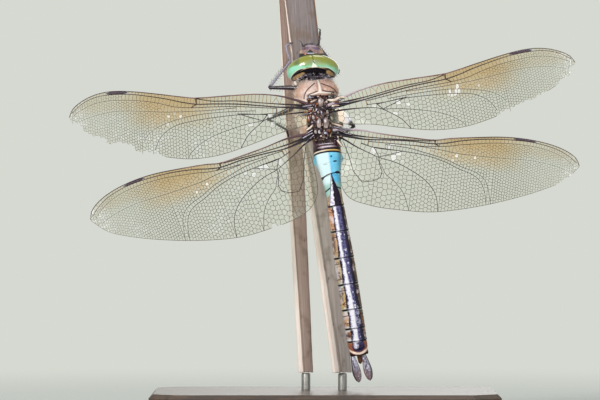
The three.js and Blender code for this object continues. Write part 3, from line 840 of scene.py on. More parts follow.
filmFinish = Finish("wing_film")
s, c, chance = filmFinish.parts(filmFinish.layer("shares", "Vector"))
here = filmFinish.place()
hazeMap = filmFinish.noise(here, 0.22, 3, 0.6)
fine = filmFinish.noise(here, 1.3, 3, 0.6)
zone = filmFinish.layer("zone")
wide = (hazeMap - 0.5) * 0.1
amberZone = (s + wide).step(0.36, 0.5) * (s + wide).step(0.82, 0.64) * (c + wide * 0.4).step(-0.1, -0.015)
amberZone = (amberZone * 0.34 + c.step(-0.02, 0.03) * s.step(0.1, 0.3) * 0.16).held()
tint = amberZone.blend((190, 192, 178), (198, 150, 74))
# the haze is whitish wear of the film together with a painted sheen that varies from cell to cell
hazeAndSheen = (zone * (hazeMap.step(0.42, 0.62) * 0.7 + 0.12) * (0.35 + 0.9 * chance) * s.step(0.08, 0.2)).held()
# a few cells catch the light, and the worn tip is whitened in streaks
glint = (chance.step(0.86, 0.9) * (s.near(0.23, 0.14) * c.near(-0.06, 0.06)).most(s.near(0.53, 0.13)
    * c.near(-0.035, 0.05)).step(0.1, 0.5))
worn = s.step(0.88, 0.98) * fine.step(0.42, 0.62) * zone.step(0.2, 0.7)
colour = hazeAndSheen.blend(tint, chance.step(0.2, 0.8).blend((206, 214, 222), (246, 247, 245)))
colour = glint.most(worn).blend(colour, (252, 252, 250))
cover = (0.06 + 0.1 * amberZone + 0.34 * hazeAndSheen + 0.5 * glint + 0.45 * worn).held()
film = filmFinish.shine(colour=colour, rough=0.16, specular=0.9)
clear = filmFinish.node("ShaderNodeBsdfTransparent", None,
    {"Color": amberZone.blend((250, 251, 247), (236, 208, 150))})
filmMaterial = filmFinish.done(filmFinish.node("ShaderNodeMixShader", None, {0: cover, 1: clear, 2: film}))

spotFinish = Finish("wing_spot")
grain = spotFinish.noise(spotFinish.place(stretch=(1, 1, 1)), 3.0, 4)
spotMaterial = spotFinish.done(spotFinish.shine(
    colour=grain.step(0.35, 0.7).blend((46, 30, 44), (88, 60, 78)), rough=0.35, coat=0.5, coatRough=0.2,
    normal=spotFinish.bump(grain, 0.05)))


def makeWing(name, wing, number):
    shape = wingShapes[wing["kind"]]
    place = wingFrame(wing)
    curves, stack, cells = wingCells(shape, 40 + number)
    rng = random.Random(90 + number)

    def torn(s, c):
        return any(inside(s, c, t) for t in wing["tears"])

    def at(s, c, extra=0.0):
        return place(s, c, wingLift(shape, stack, s, c) + extra)

    spotFrom, spotTo = wing["spot"]
    points, faces, shares, zones = [], [], [], []
    runs = []
    kept = 0
    for upper, lower, i, (mx, my), cell in cells:
        if torn(mx, my) or (upper == "front" and lower == "radius" and spotFrom < mx < spotTo):
            continue
        kept += 1
        chance = rng.random()
        rough = (wing["worn"] * (0.35 + 0.65 * ease(my, 0.02, -0.14)) * (0.5 + 0.5 * ease(mx, 0.1, 0.6))
            + 0.5 * ease(mx, 0.86, 1.0))
        start = len(points)
        for x, y, _ in cell:
            points.append(at(x, y))
            shares.append((x, y, chance))
            zones.append(rough)
        n = len(cell)
        tilt = rng.uniform(0.3, 1.0) * wingLook["dome"]
        dx, dy = rng.uniform(-0.002, 0.002), rng.uniform(-0.002, 0.002)
        points.append(at(mx + dx, my + dy, tilt + 0.012))
        points.append(at(mx + dx, my + dy, tilt * 0.2 - 0.012))
        shares += [(mx, my, chance)] * 2
        zones += [rough] * 2
        for j in range(n):
            k = (j + 1) % n
            faces.append((start + j, start + k, start + n))
            faces.append((start + k, start + j, start + n + 1))
        frontRow = upper in ("front", "subcosta", "radius", "radialFork", "middleFork") and mx < 0.8
        for j in range(n):
            x0, y0, mark = cell[j]
            x1, y1, _ = cell[(j + 1) % n]
            short = math.hypot(x1 - x0, y1 - y0) < 0.0012
            if short or mark in (cellEdges["vein"], cellEdges["square"]) or 0 <= mark < i:
                continue
            kind = veinKinds["crossing" if frontRow else "net"]
            radius = (wingLook["fineVein"]
                * (1.5 - 0.5 * ease(mx, 0.5, 0.8) if frontRow else 1.15 - 0.35 * ease(mx, 0.5, 1.0)))
            runs.append([(at(x0, y0), radius, x0, y0, kind), (at(x1, y1), radius, x1, y1, kind)])
    piece(name + "_film", points, faces, filmMaterial, stands=name,
        layers={"shares": shares, "zone": zones}, flat=True)

    def follow(curve, s0, s1, girth, kind, end=0.45, base=2.6):
        run, steps = [], max(8, int((s1 - s0) / 0.008))
        for k in range(steps + 1):
            s = s0 + (s1 - s0) * k / steps
            c = curve(s)
            if torn(s, c):
                if len(run) > 1:
                    runs.append(run)
                run = []
                continue
            taper = (1 - (1 - end) * ease(s, 0.25, 1.0)) * (1 + (base - 1) * (1 - ease(s, -0.02, 0.16)))
            run.append((at(s, c), girth * taper, s, c, kind))
        if len(run) > 1:
            runs.append(run)
    first = shape["front"][0][0]
    for vein, facts in shape["veins"].items():
        line = facts["line"]
        follow(curves[vein], max(line[0][0], first + 0.004), line[-1][0],
            facts["girth"] * wingLook["veinShare"], veinKinds["long"])
    follow(curves["front"], first + 0.004, 0.999, wingLook["edge"], veinKinds["edge"], end=0.6)
    follow(curves["rear"], first + 0.004 if wing["kind"] == "fore" else 0.02, 0.999, wingLook["rim"],
        veinKinds["net"], end=0.8, base=1.2)
    for line in [shape["triangle"] + shape["triangle"][:1]] + shape["ties"]:
        curveRun = []
        for (s0, c0), (s1, c1) in zip(line, line[1:]):
            for k in range(6):
                t = k / 6
                s, c = s0 + (s1 - s0) * t, c0 + (c1 - c0) * t
                curveRun.append((at(s, c), wingLook["tie"], s, c, veinKinds["long"]))
        curveRun.append((at(*line[-1]), wingLook["tie"], *line[-1], veinKinds["long"]))
        runs.append(curveRun)
    # the notch where the front edge is jointed, and the bridge behind it
    nodus = shape["nodus"]
    topC, midC, lowC = curves["front"](nodus), curves["radius"](nodus), curves["radialFork"](nodus + 0.02)
    line = [(nodus - 0.008, topC), (nodus + 0.002, topC - 0.006), (nodus + 0.001, midC),
        (nodus + 0.012, (midC + lowC) / 2), (nodus + 0.022, lowC)]
    runs.append(
        [(at(s, c, 0.05), r, s, c, veinKinds["notch"]) for (s, c), r in zip(line, wingLook["notch"])])
    veins = veinMesh(name + "_veins", runs, veinMaterial)
    settle(veins)

    # the dark thickened cell near the tip
    rows, steps, inset = [], wingLook["spotRows"], wingLook["spotInset"]
    for k in range(steps + 1):
        s = spotFrom + (spotTo - spotFrom) * k / steps
        swell = max(0.0, 1 - abs(2 * k / steps - 1) ** 6)
        row = []
        for c, up in ringOf(wingLook["spotSides"]):
            t = 0.5 - 0.5 * power(c, 0.5) * max(swell, 0.15)
            shift = wingLook["spotSlant"] * (t - 0.5)
            top, low = curves["front"](s + shift) - inset, curves["radius"](s + shift) + inset
            row.append(at(s + shift, top + (low - top) * t,
                power(up, 0.6) * wingLook["spotDepth"] * max(swell, 0.3)))
        rows.append(row)
    points, faces = tube(rows)
    piece(name + "_spot", points, faces, spotMaterial)
    print(name, kept, "cells")


for number, (name, wing) in enumerate(wingSet.items()):
    makeWing(name, wing, number)


def frameAlong(start, end, roll):
    # places along a body section: how far along, across to its right, and out of its back
    start, end = Vector(start), Vector(end)
    axis = end - start
    length = axis.length
    axis.normalize()
    back = Matrix.Rotation(math.radians(roll), 3, "Z") @ Vector((0, -1, 0))
    back = (back - axis * back.dot(axis)).normalized()
    right = -back.cross(axis)
    if right.x < 0:
        right.negate()
    return (lambda along, across, out: start + axis * along + right * across + back * out), length


thorax = {
    "front": (-1.85, -7.4, 68.3), "rear": (-0.35, -7.7, 55.9), "roll": 12,
    "width": [[0, 1.9], [0.7, 3.2], [2.2, 4.25], [4, 4.5], [7.2, 4.85], [9, 4.7], [10.8, 3.5], [12.5, 2.7]],
    "back": [[0, 1.0], [1, 2.3], [2.6, 3.7], [3.6, 4.0], [8, 3.9], [11, 3.4], [12.5, 2.7]],
    "chest": [[0, 1.5], [1.6, 4.2], [3.5, 5.7], [6, 5.2], [9, 4.0], [12.5, 2.6]],
    "around": 256, "rows": 150,
    # lines on the plan of the back, in millimetres across and up
    "seams": [[(-2.05, 67.4), (-2.8, 66.75), (-3.5, 66.1), (-3.95, 65.5), (-4.2, 64.8), (-4.25, 64.2)],
        [(-0.7, 67.3), (0.2, 67.0), (1.2, 66.65), (2.0, 66.1), (2.45, 65.4)]],
    "folds": [[(-1.55, 65.75), (-2.3, 65.4), (-3.1, 65.1), (-3.6, 64.7)],
        [(-0.45, 65.95), (0.2, 65.72), (1.0, 65.62), (1.9, 65.6)]],
    "ridgeSides": [[(-1.74, 68.2), (-1.62, 67.3), (-1.42, 66.3), (-1.38, 65.9)],
        [(-1.25, 68.0), (-0.92, 67.2), (-0.62, 66.5), (-0.5, 65.95)]],
    "ridge": [(-1.6, 68.7), (-1.35, 67.8), (-1.08, 66.8), (-0.95, 65.6)],
    "crest": [(-3.2, 64.85), (-2.3, 65.15), (-1.2, 65.45), (0.0, 65.42), (1.1, 65.38)],
    "under": [(-2.9, 64.75), (-2.0, 65.0), (-1.2, 65.2), (0.0, 65.2), (1.0, 65.15)],
    "flankSeams": ((3.2, 0.9), (6.6, 0.7), (9.6, 0.5)),     # where along, and how far each leans
    # how far, in millimetres, each feature cuts in or stands out
    "deep": {"cut": 0.18, "line": 0.05, "ridge": 0.16, "well": 0.42, "skin": 0.02},
    "knobs": 90,    # small swellings and pits in the well between the wings
}
smallFolds = {
    "count": 46, "across": (-3.0, 1.9), "up": (55.6, 64.6), "halfWidth": (0.07, 0.15),
    "halfLength": (0.2, 0.5), "turn": (-60, 60), "height": (0.2, 0.35),
    "shades": (0, 1, 1, 2, 3, 3, 3, 0, 5),
}
# hard plates between the wings: middle across and up, half sizes, turn, height and colour
# (0 grey, 1 orange, 2 cream, 3 maroon, 4 blue white, a painted glint, 5 black)
plates = [
    (-0.85, 63.5, 0.62, 0.95, 0, 0.5, 0), (-0.45, 62.35, 0.35, 0.3, 0, 0.3, 5),
    (-0.7, 61.4, 0.16, 0.5, 15, 0.35, 4), (-1.75, 62.0, 0.16, 0.42, -30, 0.3, 4),
    (-1.35, 61.5, 0.22, 0.3, 0, 0.25, 0), (-1.2, 59.3, 0.5, 1.1, 0, 0.5, 0),
    (0.22, 59.4, 0.62, 1.2, 0, 0.55, 0), (1.35, 60.4, 0.22, 0.62, 35, 0.35, 2),
    (0.42, 62.7, 0.25, 0.3, 0, 0.3, 1), (0.5, 61.6, 0.3, 0.42, 10, 0.3, 0),
    (-3.0, 64.5, 0.34, 0.26, 10, 0.4, 4), (-3.3, 64.1, 0.3, 0.14, -30, 0.35, 1),
    (-2.3, 64.4, 0.36, 0.3, 0, 0.3, 5), (-1.2, 64.55, 0.55, 0.3, 10, 0.3, 3),
    (0.9, 64.7, 0.3, 0.22, 0, 0.35, 0), (1.4, 64.45, 0.4, 0.3, 0, 0.3, 5),
    (1.55, 65.25, 0.22, 0.16, 0, 0.35, 1), (2.0, 64.6, 0.2, 0.34, 0, 0.35, 2),
    (0.35, 63.6, 0.25, 0.3, 0, 0.3, 2), (1.1, 63.35, 0.22, 0.3, 0, 0.4, 2),
    (-3.25, 60.2, 0.26, 0.8, 8, 0.3, 1), (-2.35, 60.5, 0.3, 0.5, 20, 0.25, 0),
    (-2.5, 59.4, 0.4, 0.4, 0, 0.3, 5), (-1.9, 57.6, 0.3, 0.4, 20, 0.3, 0),
    (-1.15, 57.6, 0.25, 0.4, 0, 0.25, 4), (-0.8, 56.75, 0.24, 0.2, 0, 0.3, 2),
    (0.1, 57.4, 0.4, 0.25, 0, 0.25, 4), (0.9, 57.9, 0.3, 0.35, 0, 0.3, 1),
    (1.35, 58.6, 0.22, 0.4, 0, 0.25, 3), (0.5, 56.3, 0.5, 0.22, 0, 0.25, 5),
    (-0.3, 60.3, 0.7, 0.13, 0, 0.3, 5), (0.6, 60.35, 0.5, 0.13, -5, 0.3, 5),
    (-1.3, 60.35, 0.35, 0.13, 25, 0.3, 5), (-2.3, 56.6, 0.25, 0.25, 0, 0.3, 2),
    (1.9, 58.1, 0.2, 0.2, 0, 0.35, 4), (2.4, 57.5, 0.36, 0.2, -10, 0.35, 2),
    (3.25, 56.7, 0.2, 0.18, 0, 0.3, 1), (2.6, 56.6, 0.2, 0.2, 0, 0.3, 2), (2.0, 56.2, 0.24, 0.2, 0, 0.3, 4),
    (3.15, 59.2, 0.38, 0.3, 0, 0.3, 3),
    (3.15, 59.2, 0.16, 0.14, 0, 0.42, 1), (-1.9, 61.1, 0.18, 0.35, -20, 0.3, 3),
    (1.5, 61.6, 0.3, 0.4, 0, 0.25, 3), (-2.2, 62.9, 0.4, 0.16, 5, 0.3, 5),
]
# the roots of the wings: a line on the plan, its half width and its colour
roots = [
    ([(0.4, 64.0), (1.8, 63.95), (3.0, 64.5), (4.3, 64.5)], 0.27, 2),
    ([(2.1, 63.85), (3.2, 64.1)], 0.17, 5), ([(1.6, 63.6), (2.9, 63.7)], 0.16, 1),
    ([(1.5, 63.3), (2.6, 63.35), (4.8, 63.55)], 0.15, 5),
    ([(1.3, 62.65), (2.0, 62.9), (2.9, 62.85)], 0.2, 2), ([(1.4, 62.35), (2.8, 62.4)], 0.18, 5),
    ([(2.0, 62.0), (2.8, 62.3)], 0.16, 2), ([(-2.9, 63.55), (-2.2, 63.8), (-1.7, 64.1)], 0.18, 2),
    ([(-5.2, 63.5), (-4, 63.25), (-2.6, 63.3), (-1.6, 63.5)], 0.15, 3),
    ([(-4.6, 62.55), (-3.6, 62.8), (-2.7, 62.95)], 0.15, 4),
    ([(-5.2, 62.3), (-3.8, 62.35), (-2.4, 62.5)], 0.17, 5), ([(-3.3, 62.05), (-2.6, 62.2)], 0.17, 2),
    ([(-4.9, 61.5), (-3.8, 61.55), (-2.6, 61.9)], 0.14, 1),
    ([(-4.0, 57.85), (-3.0, 58.4), (-2.4, 59.1)], 0.2, 2),
    ([(-5.0, 56.5), (-3.6, 57.3), (-2.5, 58.0)], 0.2, 5),
    ([(-4.7, 56.2), (-3.5, 56.9), (-2.5, 57.4)], 0.13, 4),
    ([(-4.0, 55.4), (-3.0, 56.3), (-2.2, 57.0)], 0.17, 5),
    ([(1.2, 59.5), (2.2, 59.1), (3.7, 58.7)], 0.19, 2),
    ([(1.8, 58.65), (2.8, 58.4), (4.2, 58.15), (5.2, 58.15)], 0.19, 5),
    ([(2.0, 57.8), (2.9, 57.9), (4, 57.4), (5.2, 57.1)], 0.16, 5),
    ([(2.4, 56.0), (3.0, 55.3), (3.5, 54.6)], 0.22, 2),
    ([(-5.0, 60.9), (-4.0, 61.0), (-2.7, 61.4)], 0.12, 5),
]
thoraxAt, thoraxLength = frameAlong(thorax["front"], thorax["rear"], thorax["roll"])
thoraxWidth, thoraxBack, thoraxChest = [profile(thorax[k]) for k in ("width", "back", "chest")]


def thoraxPoint(along, angle, grow=0.0):
    px, pz = math.cos(angle), math.sin(angle)
    widest = -1.2 * ease(along, 0, 4)
    half = thoraxBack(along) - widest if pz > 0 else thoraxChest(along) + widest
    out = widest + power(pz, 0.82) * (half + grow)
    drawIn = 1 - 0.36 * ease(out, 0.5, 4) * ease(along, 2, 4.5)
    if px > 0:
        drawIn *= 1 - 0.24 * ease(along, 3, 5.5) * ease(along, 12, 9.5)
    return thoraxAt(along, power(px, 0.85) * (thoraxWidth(along) + grow) * drawIn, out)


def makeThorax():
    around, rows, deep = thorax["around"], thorax["rows"], thorax["deep"]
    rng = random.Random(5)
    knobs = [(rng.uniform(-4.2, 2.6), rng.uniform(55.8, 65), rng.uniform(0.12, 0.3),
        rng.choice((-0.25, 0.3, 0.4))) for _ in range(thorax["knobs"])]
    points, marks, wells = [], [], []
    nearest = lambda x, z, key: min(toLine(x, z, line) for line in thorax[key])
    for i in range(rows + 1):
        share = i / rows
        along = (thoraxLength
            * (0.5 - 0.5 * math.cos(math.pi * share) if share < 0.04 or share > 0.96 else share))
        for j in range(around):
            angle = 2 * math.pi * j / around
            facing = math.sin(angle)
            x, _, z = thoraxPoint(along, angle)
            cut = pale = line = well = 0.0
            if facing > 0.12:
                cut = max(bump(nearest(x, z, "seams"), 0, 0.15), bump(nearest(x, z, "folds"), 0, 0.15))
                pale = max(bump(toLine(x, z, thorax["ridge"]), 0, 0.17 + 0.14 * ease(z, 68, 65.8)),
                    bump(toLine(x, z, thorax["crest"]), 0, 0.17))
                line = max(bump(nearest(x, z, "ridgeSides"), 0, 0.13),
                    bump(toLine(x, z, thorax["under"]), 0, 0.12))
                well = ease(z, 65.05, 64.7) * ease(facing, 0.3, 0.65) * ease(x, -3.8, -3.2)
            # seams down the flanks, each from a wing or a leg
            for where, lean in thorax["flankSeams"]:
                cut = max(cut,
                    0.8 * bump(along - where - lean * facing, 0, 0.16) * ease(-facing, -0.35, 0.0))
            beside = [k for k in knobs if abs(x - k[0]) < 0.6 and abs(z - k[1]) < 0.6] if well else []
            rough = well * sum(h * bump(math.hypot(x - kx, z - kz), 0, r) for kx, kz, r, h in beside)
            points.append(thoraxPoint(along, angle, -deep["cut"] * cut - deep["line"] * line
                + deep["ridge"] * pale - deep["well"] * well + rough - deep["skin"]))
            marks.append((cut, pale, line))
            wells.append(well)
    body, faces = tube(np.array(points).reshape(rows + 1, around, 3))
    return body, faces, {"marks": marks + [(0, 0, 0)] * 2, "well": wells + [0, 0]}


thoraxFinish = Finish("thorax_shell")
here = thoraxFinish.place()
x, y, z = thoraxFinish.parts(here)
fine, broad = thoraxFinish.noise(here, 2.2, 5, 0.6), thoraxFinish.noise(here, 0.42, 3, 0.55)
mottle = thoraxFinish.noise(here, 1.7, 4, 0.7, 0.8)
groove, pale, line = thoraxFinish.parts(thoraxFinish.layer("marks", "Vector"))
well = thoraxFinish.layer("well")
# the left part of the shield is painted paler, a painted highlight on its lit side
colour = coated(broad.step(0.36, 0.64).blend((224, 194, 184), (204, 160, 138)),
    (fine.step(0.5, 0.75), (242, 220, 214)),
    ((x + 1.4).step(-0.2, -1.2) * (x + 4.3).step(-0.4, 0.6) * 0.5, (238, 218, 210)),
    (mottle.step(0.5, 0.66) * 0.4, (188, 132, 98)))
rim = (z - 66.7 - broad * 1.2).step(0.0, 1.5) * (x + 1.2).size().step(1.2, 2.6)
rim = rim.most((x + 1.6).size().step(2.9, 4.4) * (z - 64.4).step(0.0, 0.6) * 0.8)
colour = (rim * 0.75).blend(colour, mottle.step(0.35, 0.6).blend((176, 104, 56), (208, 150, 104)))
# the flanks are painted pale cream over their own orange tan, as painted light
flank = (y + 8.6).step(0.0, 2.6)
colour = coated(colour,
    (flank, broad.step(0.4, 0.6).blend((255, 206, 150), (255, 238, 214))),
    (flank * (62.6 - z).size().step(2.2, 1.0) * mottle.step(0.4, 0.6) * 0.6, (224, 216, 226)))
# the left side under the wings is painted pale, a painted light where the wings shade it, with an orange
# strip beside the well
side = (-2.8 - x).step(0.0, 1.1) * (64.6 - z).step(0.0, 1.2)
colour = (side * 0.9).blend(colour, mottle.step(0.35, 0.6).blend((255, 222, 192), (255, 246, 242)))
strip = x.near(-3.35, 0.5, 0.25) * z.near(59.8, 1.7, 1.1)
strip = strip.most((x + 4.3 - (58.0 - z) * 0.5 + mottle * 0.5 - 0.25).size().step(0.75, 0.15)
    * z.near(57.8, 1.1, 0.3))
colour = (strip * 0.65).blend(colour, (244, 168, 106))
# between the wings: many small folds, each its own brown, with black cracks
pick = thoraxFinish.parts(thoraxFinish.cells(here, 1.3, output="Color"))[0]
crack = thoraxFinish.cells(here, 1.3, "DISTANCE_TO_EDGE")
dark = coated(pick.step(0.2, 0.3).blend((34, 15, 22), (84, 42, 36)),
    (pick.step(0.5, 0.55), (110, 84, 84)),
    (pick.step(0.72, 0.76), (158, 88, 46)),
    (pick.step(0.86, 0.9), (228, 206, 190)),
    (mottle.step(0.55, 0.4) * 0.8, (30, 14, 20)),
    (crack.step(0.14, 0.04), (20, 10, 16)))
colour = coated(colour,
    ((well * 1.6).held(), dark),
    ((line * (0.9 - well)).held(), (160, 92, 48)),
    ((pale * 1.1).held(), (250, 240, 230)),
    (groove.step(0.35, 0.85), (70, 40, 52)))
thoraxMaterial = thoraxFinish.done(thoraxFinish.shine(
    colour=colour, rough=0.4 + fine * 0.22 - well * 0.16, coat=0.35 - well * 0.2, coatRough=0.28,
    specular=0.35, normal=thoraxFinish.bump(fine * 0.7 + mottle * well, 0.07, 0.7)))
points, faces, layers = makeThorax()
piece("thorax_shell", points, faces, thoraxMaterial, stands="thorax", sharp=60,
    layers=layers)
surface = BVHTree.FromPolygons([tuple(p) for p in points], [f for f in faces])


def topOf(x, z, hinge=True):
    # how near the camera side the thorax or the wing roots stand at a place on the plan
    hit = surface.ray_cast(Vector((x, -30, z)), Vector((0, 1, 0)))[0]
    floorAt = -10.5 if z > 60.5 else -9.9
    return min(hit.y, floorAt) if hit and hinge else (hit.y if hit else floorAt)


def makePlates():
    parts, tones, lobes = [], [], []
    # a dark foot under each plate, and small folds strewn between the larger ones
    rng = random.Random(11)
    small = []
    while len(small) < smallFolds["count"]:
        x, z = rng.uniform(*smallFolds["across"]), rng.uniform(*smallFolds["up"])
        clear = all(math.hypot((x - p[0]) / (p[2] + 0.12), (z - p[1]) / (p[3] + 0.12)) > 1
            for p in plates + small)
        if clear and abs(x + 0.5) < 2.6 - 0.12 * abs(z - 62):
            measures = [rng.uniform(*smallFolds[k]) for k in ("halfWidth", "halfLength", "turn", "height")]
            small.append((x, z, *measures, rng.choice(smallFolds["shades"])))
    feet = [(x, z, rx + 0.11, rz + 0.11, turn, height * 0.55, 5)
        for x, z, rx, rz, turn, height, _ in plates]
    for x, z, rx, rz, turn, height, shade in feet + plates + small:
        c, s = math.cos(math.radians(turn)), math.sin(math.radians(turn))
        grid = []
        for i in range(9):
            polar = math.pi * i / 8
            lift = math.cos(polar)
            row = []
            for j in range(18):
                a = 2 * math.pi * j / 18
                r = math.sin(polar) * (1 + 0.14 * math.sin(3 * a + 7 * x) + 0.1 * math.sin(5 * a + 9 * z))
                u, v = power(math.cos(a), 0.8) * rx * r, power(math.sin(a), 0.8) * rz * r
                px, pz = x + u * c - v * s, z + u * s + v * c
                row.append((px, topOf(px, pz, False)
                    - lift * (height if lift > 0 else 0.25) * (1 - 0.25 * bump(r, 0.5, 0.2)), pz))
            grid.append(row)
        parts.append(capped(np.array(grid)))
        tones += [shade] * len(parts[-1][0])
        lobes += [((px - x) / rx, (pz - z) / rz, 1) for px, _, pz in parts[-1][0]]
    for line, half, shade in roots:
        # a wider dark bed under a root, or a painted highlight line along a black one
        strips = ((half * 0.8, half * 1.4, 5), (0.0, half, shade))
        if shade == 5:
            strips = ((0.0, half * 1.15, 5), (-half * 0.8, half * 0.42, 4))
        for back, wide, tint in strips:
            knots = [(px, topOf(px, pz) - 0.08 + back, pz) for px, pz in line]
            rows = limbRows(knots, [[0, 0.1], [0.15, wide], [0.8, wide * 0.85], [1, 0.08]], 10,
                5 * len(knots))
            parts.append(tube(rows))
            tones += [tint] * len(parts[-1][0])
            lobes += [(0, 0, 0)] * len(parts[-1][0])
    points, faces = joined(parts)
    return points, faces, {"shade": tones, "lobe": lobes}


plateTones = [   # for the shades 1 to 5, each from light to dark in its grain
    ((176, 112, 70), (120, 66, 42)), ((246, 230, 214), (196, 164, 146)), ((96, 44, 36), (60, 28, 28)),
    ((226, 222, 234), (156, 148, 166)), ((28, 16, 24), (62, 44, 56)),
]
plateFinish = Finish("thorax_plate")
here = plateFinish.place()
fine, broad = plateFinish.noise(here, 3.0, 4), plateFinish.noise(here, 1.1, 3)
shade = plateFinish.layer("shade")
colour = broad.step(0.35, 0.65).blend((192, 172, 166), (140, 116, 112))
for number, (first, second) in enumerate(plateTones):
    colour = shade.near(number + 1.0, 0.5).blend(colour, broad.step(0.35, 0.65).blend(first, second))
u, v, isPlate = plateFinish.parts(plateFinish.layer("lobe", "Vector"))
gleam = (u + 0.3) * (u + 0.3) + (v - 0.3) * (v - 0.3) + (fine - 0.5) * 0.3
colour = coated(colour,
    ((u * u + v * v).step(0.6, 1.0) * isPlate * 0.7, (34, 18, 24)),
    (gleam.step(0.16, 0.03) * isPlate * 0.6, (240, 236, 246)))
plateMaterial = plateFinish.done(plateFinish.shine(colour=colour, rough=0.28 + fine * 0.2, coat=0.35,
    coatRough=0.2, specular=0.35, normal=plateFinish.bump(fine + broad, 0.06, 0.6)))
points, faces, layers = makePlates()
piece("thorax_plates", points, faces, plateMaterial, sharp=70, layers=layers)
print("thorax made")


abdomen = {
    "front": (0.06, -8.0, 56.2), "rear": (6.9, -5.4, 12.9), "roll": 6,
    "segments": [2.4, 5.3, 5.9, 5.1, 5.4, 5.4, 5.1, 3.8, 2.6, 2.9],
    "width": [[0, 2.6], [2.2, 2.8], [4, 2.75], [7.6, 2.02], [11, 1.62], [14, 1.7], [19, 1.86], [24, 2.05],
        [34.5, 2.1], [41, 2.02], [43.9, 1.8]],
    "back": [[0, 2.3], [3, 2.6], [7.5, 2.0], [11, 1.6], [20, 1.65], [34, 1.7], [41, 1.5], [43.9, 1.2]],
    "belly": [[0, 2.5], [3.5, 3.0], [7.5, 2.1], [11, 1.6], [20, 1.6], [34, 1.6], [41, 1.4], [43.9, 1.1]],
    "lean": [[0, 0], [0.4, 0], [2.6, 0.2], [8, 0.2], [13, 0.1], [34, 0.08], [42, 0], [60, 0]],
    "around": 120, "rowsPerMm": 9, "overlap": 0.28, "tuck": 0.16,   # each ring starts inside the one before
    "band": [[0, 9], [2.35, 9], [2.45, -1], [7.4, -1], [7.9, 0.12], [9.5, 0.5], [11.5, 0.85], [13.6, 1.05],
        [18, 1.15], [24, 1.22], [34, 1.25], [41, 1.3], [43.9, 1.2]],
}
abdomenAxis, abdomenLength = frameAlong(abdomen["front"], abdomen["rear"], abdomen["roll"])
ringLean = profile(abdomen["lean"])
abdomenWidth, abdomenBack, abdomenBelly, bandHalf = [profile(abdomen[k])
    for k in ("width", "back", "belly", "band")]
joints = [sum(abdomen["segments"][:i]) for i in range(11)]


def abdomenAt(along, across, out):
    # the rings lean, further forward on the back than on the belly
    return abdomenAxis(along - ringLean(along) * out, across, out)


def abdomenPoint(along, angle, grow=0.0):
    px, pz = math.cos(angle), math.sin(angle)
    half = abdomenBack(along) if pz > 0 else abdomenBelly(along)
    return abdomenAt(along, power(px, 0.9) * (abdomenWidth(along) + grow), power(pz, 0.9) * (half + grow))


def makeSegment(number):
    start, end = joints[number], joints[number + 1]
    length = end - start
    rows = max(20, int(length * abdomen["rowsPerMm"]))
    around = abdomen["around"]
    points, where, band, rim = [], [], [], []
    late = ease(number, 2.5, 3.5)
    lap = abdomen["overlap"] if number else 0.0
    for i in range(rows + 1):
        share = i / rows
        along = start - lap + (length + lap) * share
        tuck = -abdomen["tuck"] * (1 - ease(along - start, -lap, 0.5)) if number else 0.0
        collarShape = 0.06 * bump(end - along, 0.16, 0.16)
        for j, (c, s) in enumerate(ringOf(around)):
            angle = 2 * math.pi * j / around
            across = power(c, 0.9) * abdomenWidth(along)
            top = ease(s, 0.0, 0.2)
            keel = 0.05 * bump(across, 0, 0.12) * top * late  # the ridge down the back
            edgeLine = 0.06 * bump(s, -0.28, 0.1) * late  # the keel low on each side
            fold = -0.12 * bump(s, -0.42, 0.1) * (0.4 + 0.6 * late)  # the soft fold under it
            # the ridge round the front third
            crossRidge = 0.05 * bump((along - start) / length, 0.3, 0.035) * late * top
            crossCut = -0.05 * bump((along - start) / length, 0.36, 0.05) * late * top
            if number == 1:
                crossRidge = 0.04 * bump(along - start, 2.6, 0.12) * top
                crossCut = -0.05 * bump(along - start, 2.85, 0.12) * top
                # the male's ear-like knobs low on the sides
                crossRidge += 0.55 * bump(along - start, 1.9, 0.7) * bump(s, -0.12, 0.14) * 0.8
            grow = tuck + collarShape + keel + edgeLine + fold + crossRidge + crossCut - 0.03
            if number == 9:
                # the last ring: a deep hind rim and a boss in the middle of its back
                grow += (0.12 * bump(along - start, 2.45, 0.3) * top
                    + 0.2 * bump(along - start, 0.95, 0.7) * bump(across, 0, 0.9) * top)
                grow -= 0.14 * bump(along - start, 1.9, 0.3) * bump(across, 0, 1.1) * top
            points.append(abdomenPoint(along, angle, grow))
            where.append((across, along, s))
            inner = (bandHalf(along) + 0.16 * bump(end - along, 0.2, 0.5) * late
                - 0.12 * bump((along - start) / length, 0.42, 0.16) * late)
            distance = abs(across - 0.14) - inner if s > 0 else 2.0
            band.append(distance)
            rim.append(min(along - start, end - along) if number else end - along)
    grid = np.array(points).reshape(rows + 1, around, 3)
    body, faces = tube(grid)
    middle = [(0, start, 0), (0, end, 0)]
    return body, faces, {"where": where + middle, "band": band + [0, 0], "rim": rim + [0, 0]}


# the front ring and the blue saddle
saddleFinish = Finish("abdomen_blue")
here = saddleFinish.place()
fine = saddleFinish.noise(here, 2.5, 4)
across, along, out = saddleFinish.parts(saddleFinish.layer("where", "Vector"))
band, rim = saddleFinish.layer("band"), saddleFinish.layer("rim")
wob = (fine - 0.5) * 0.5
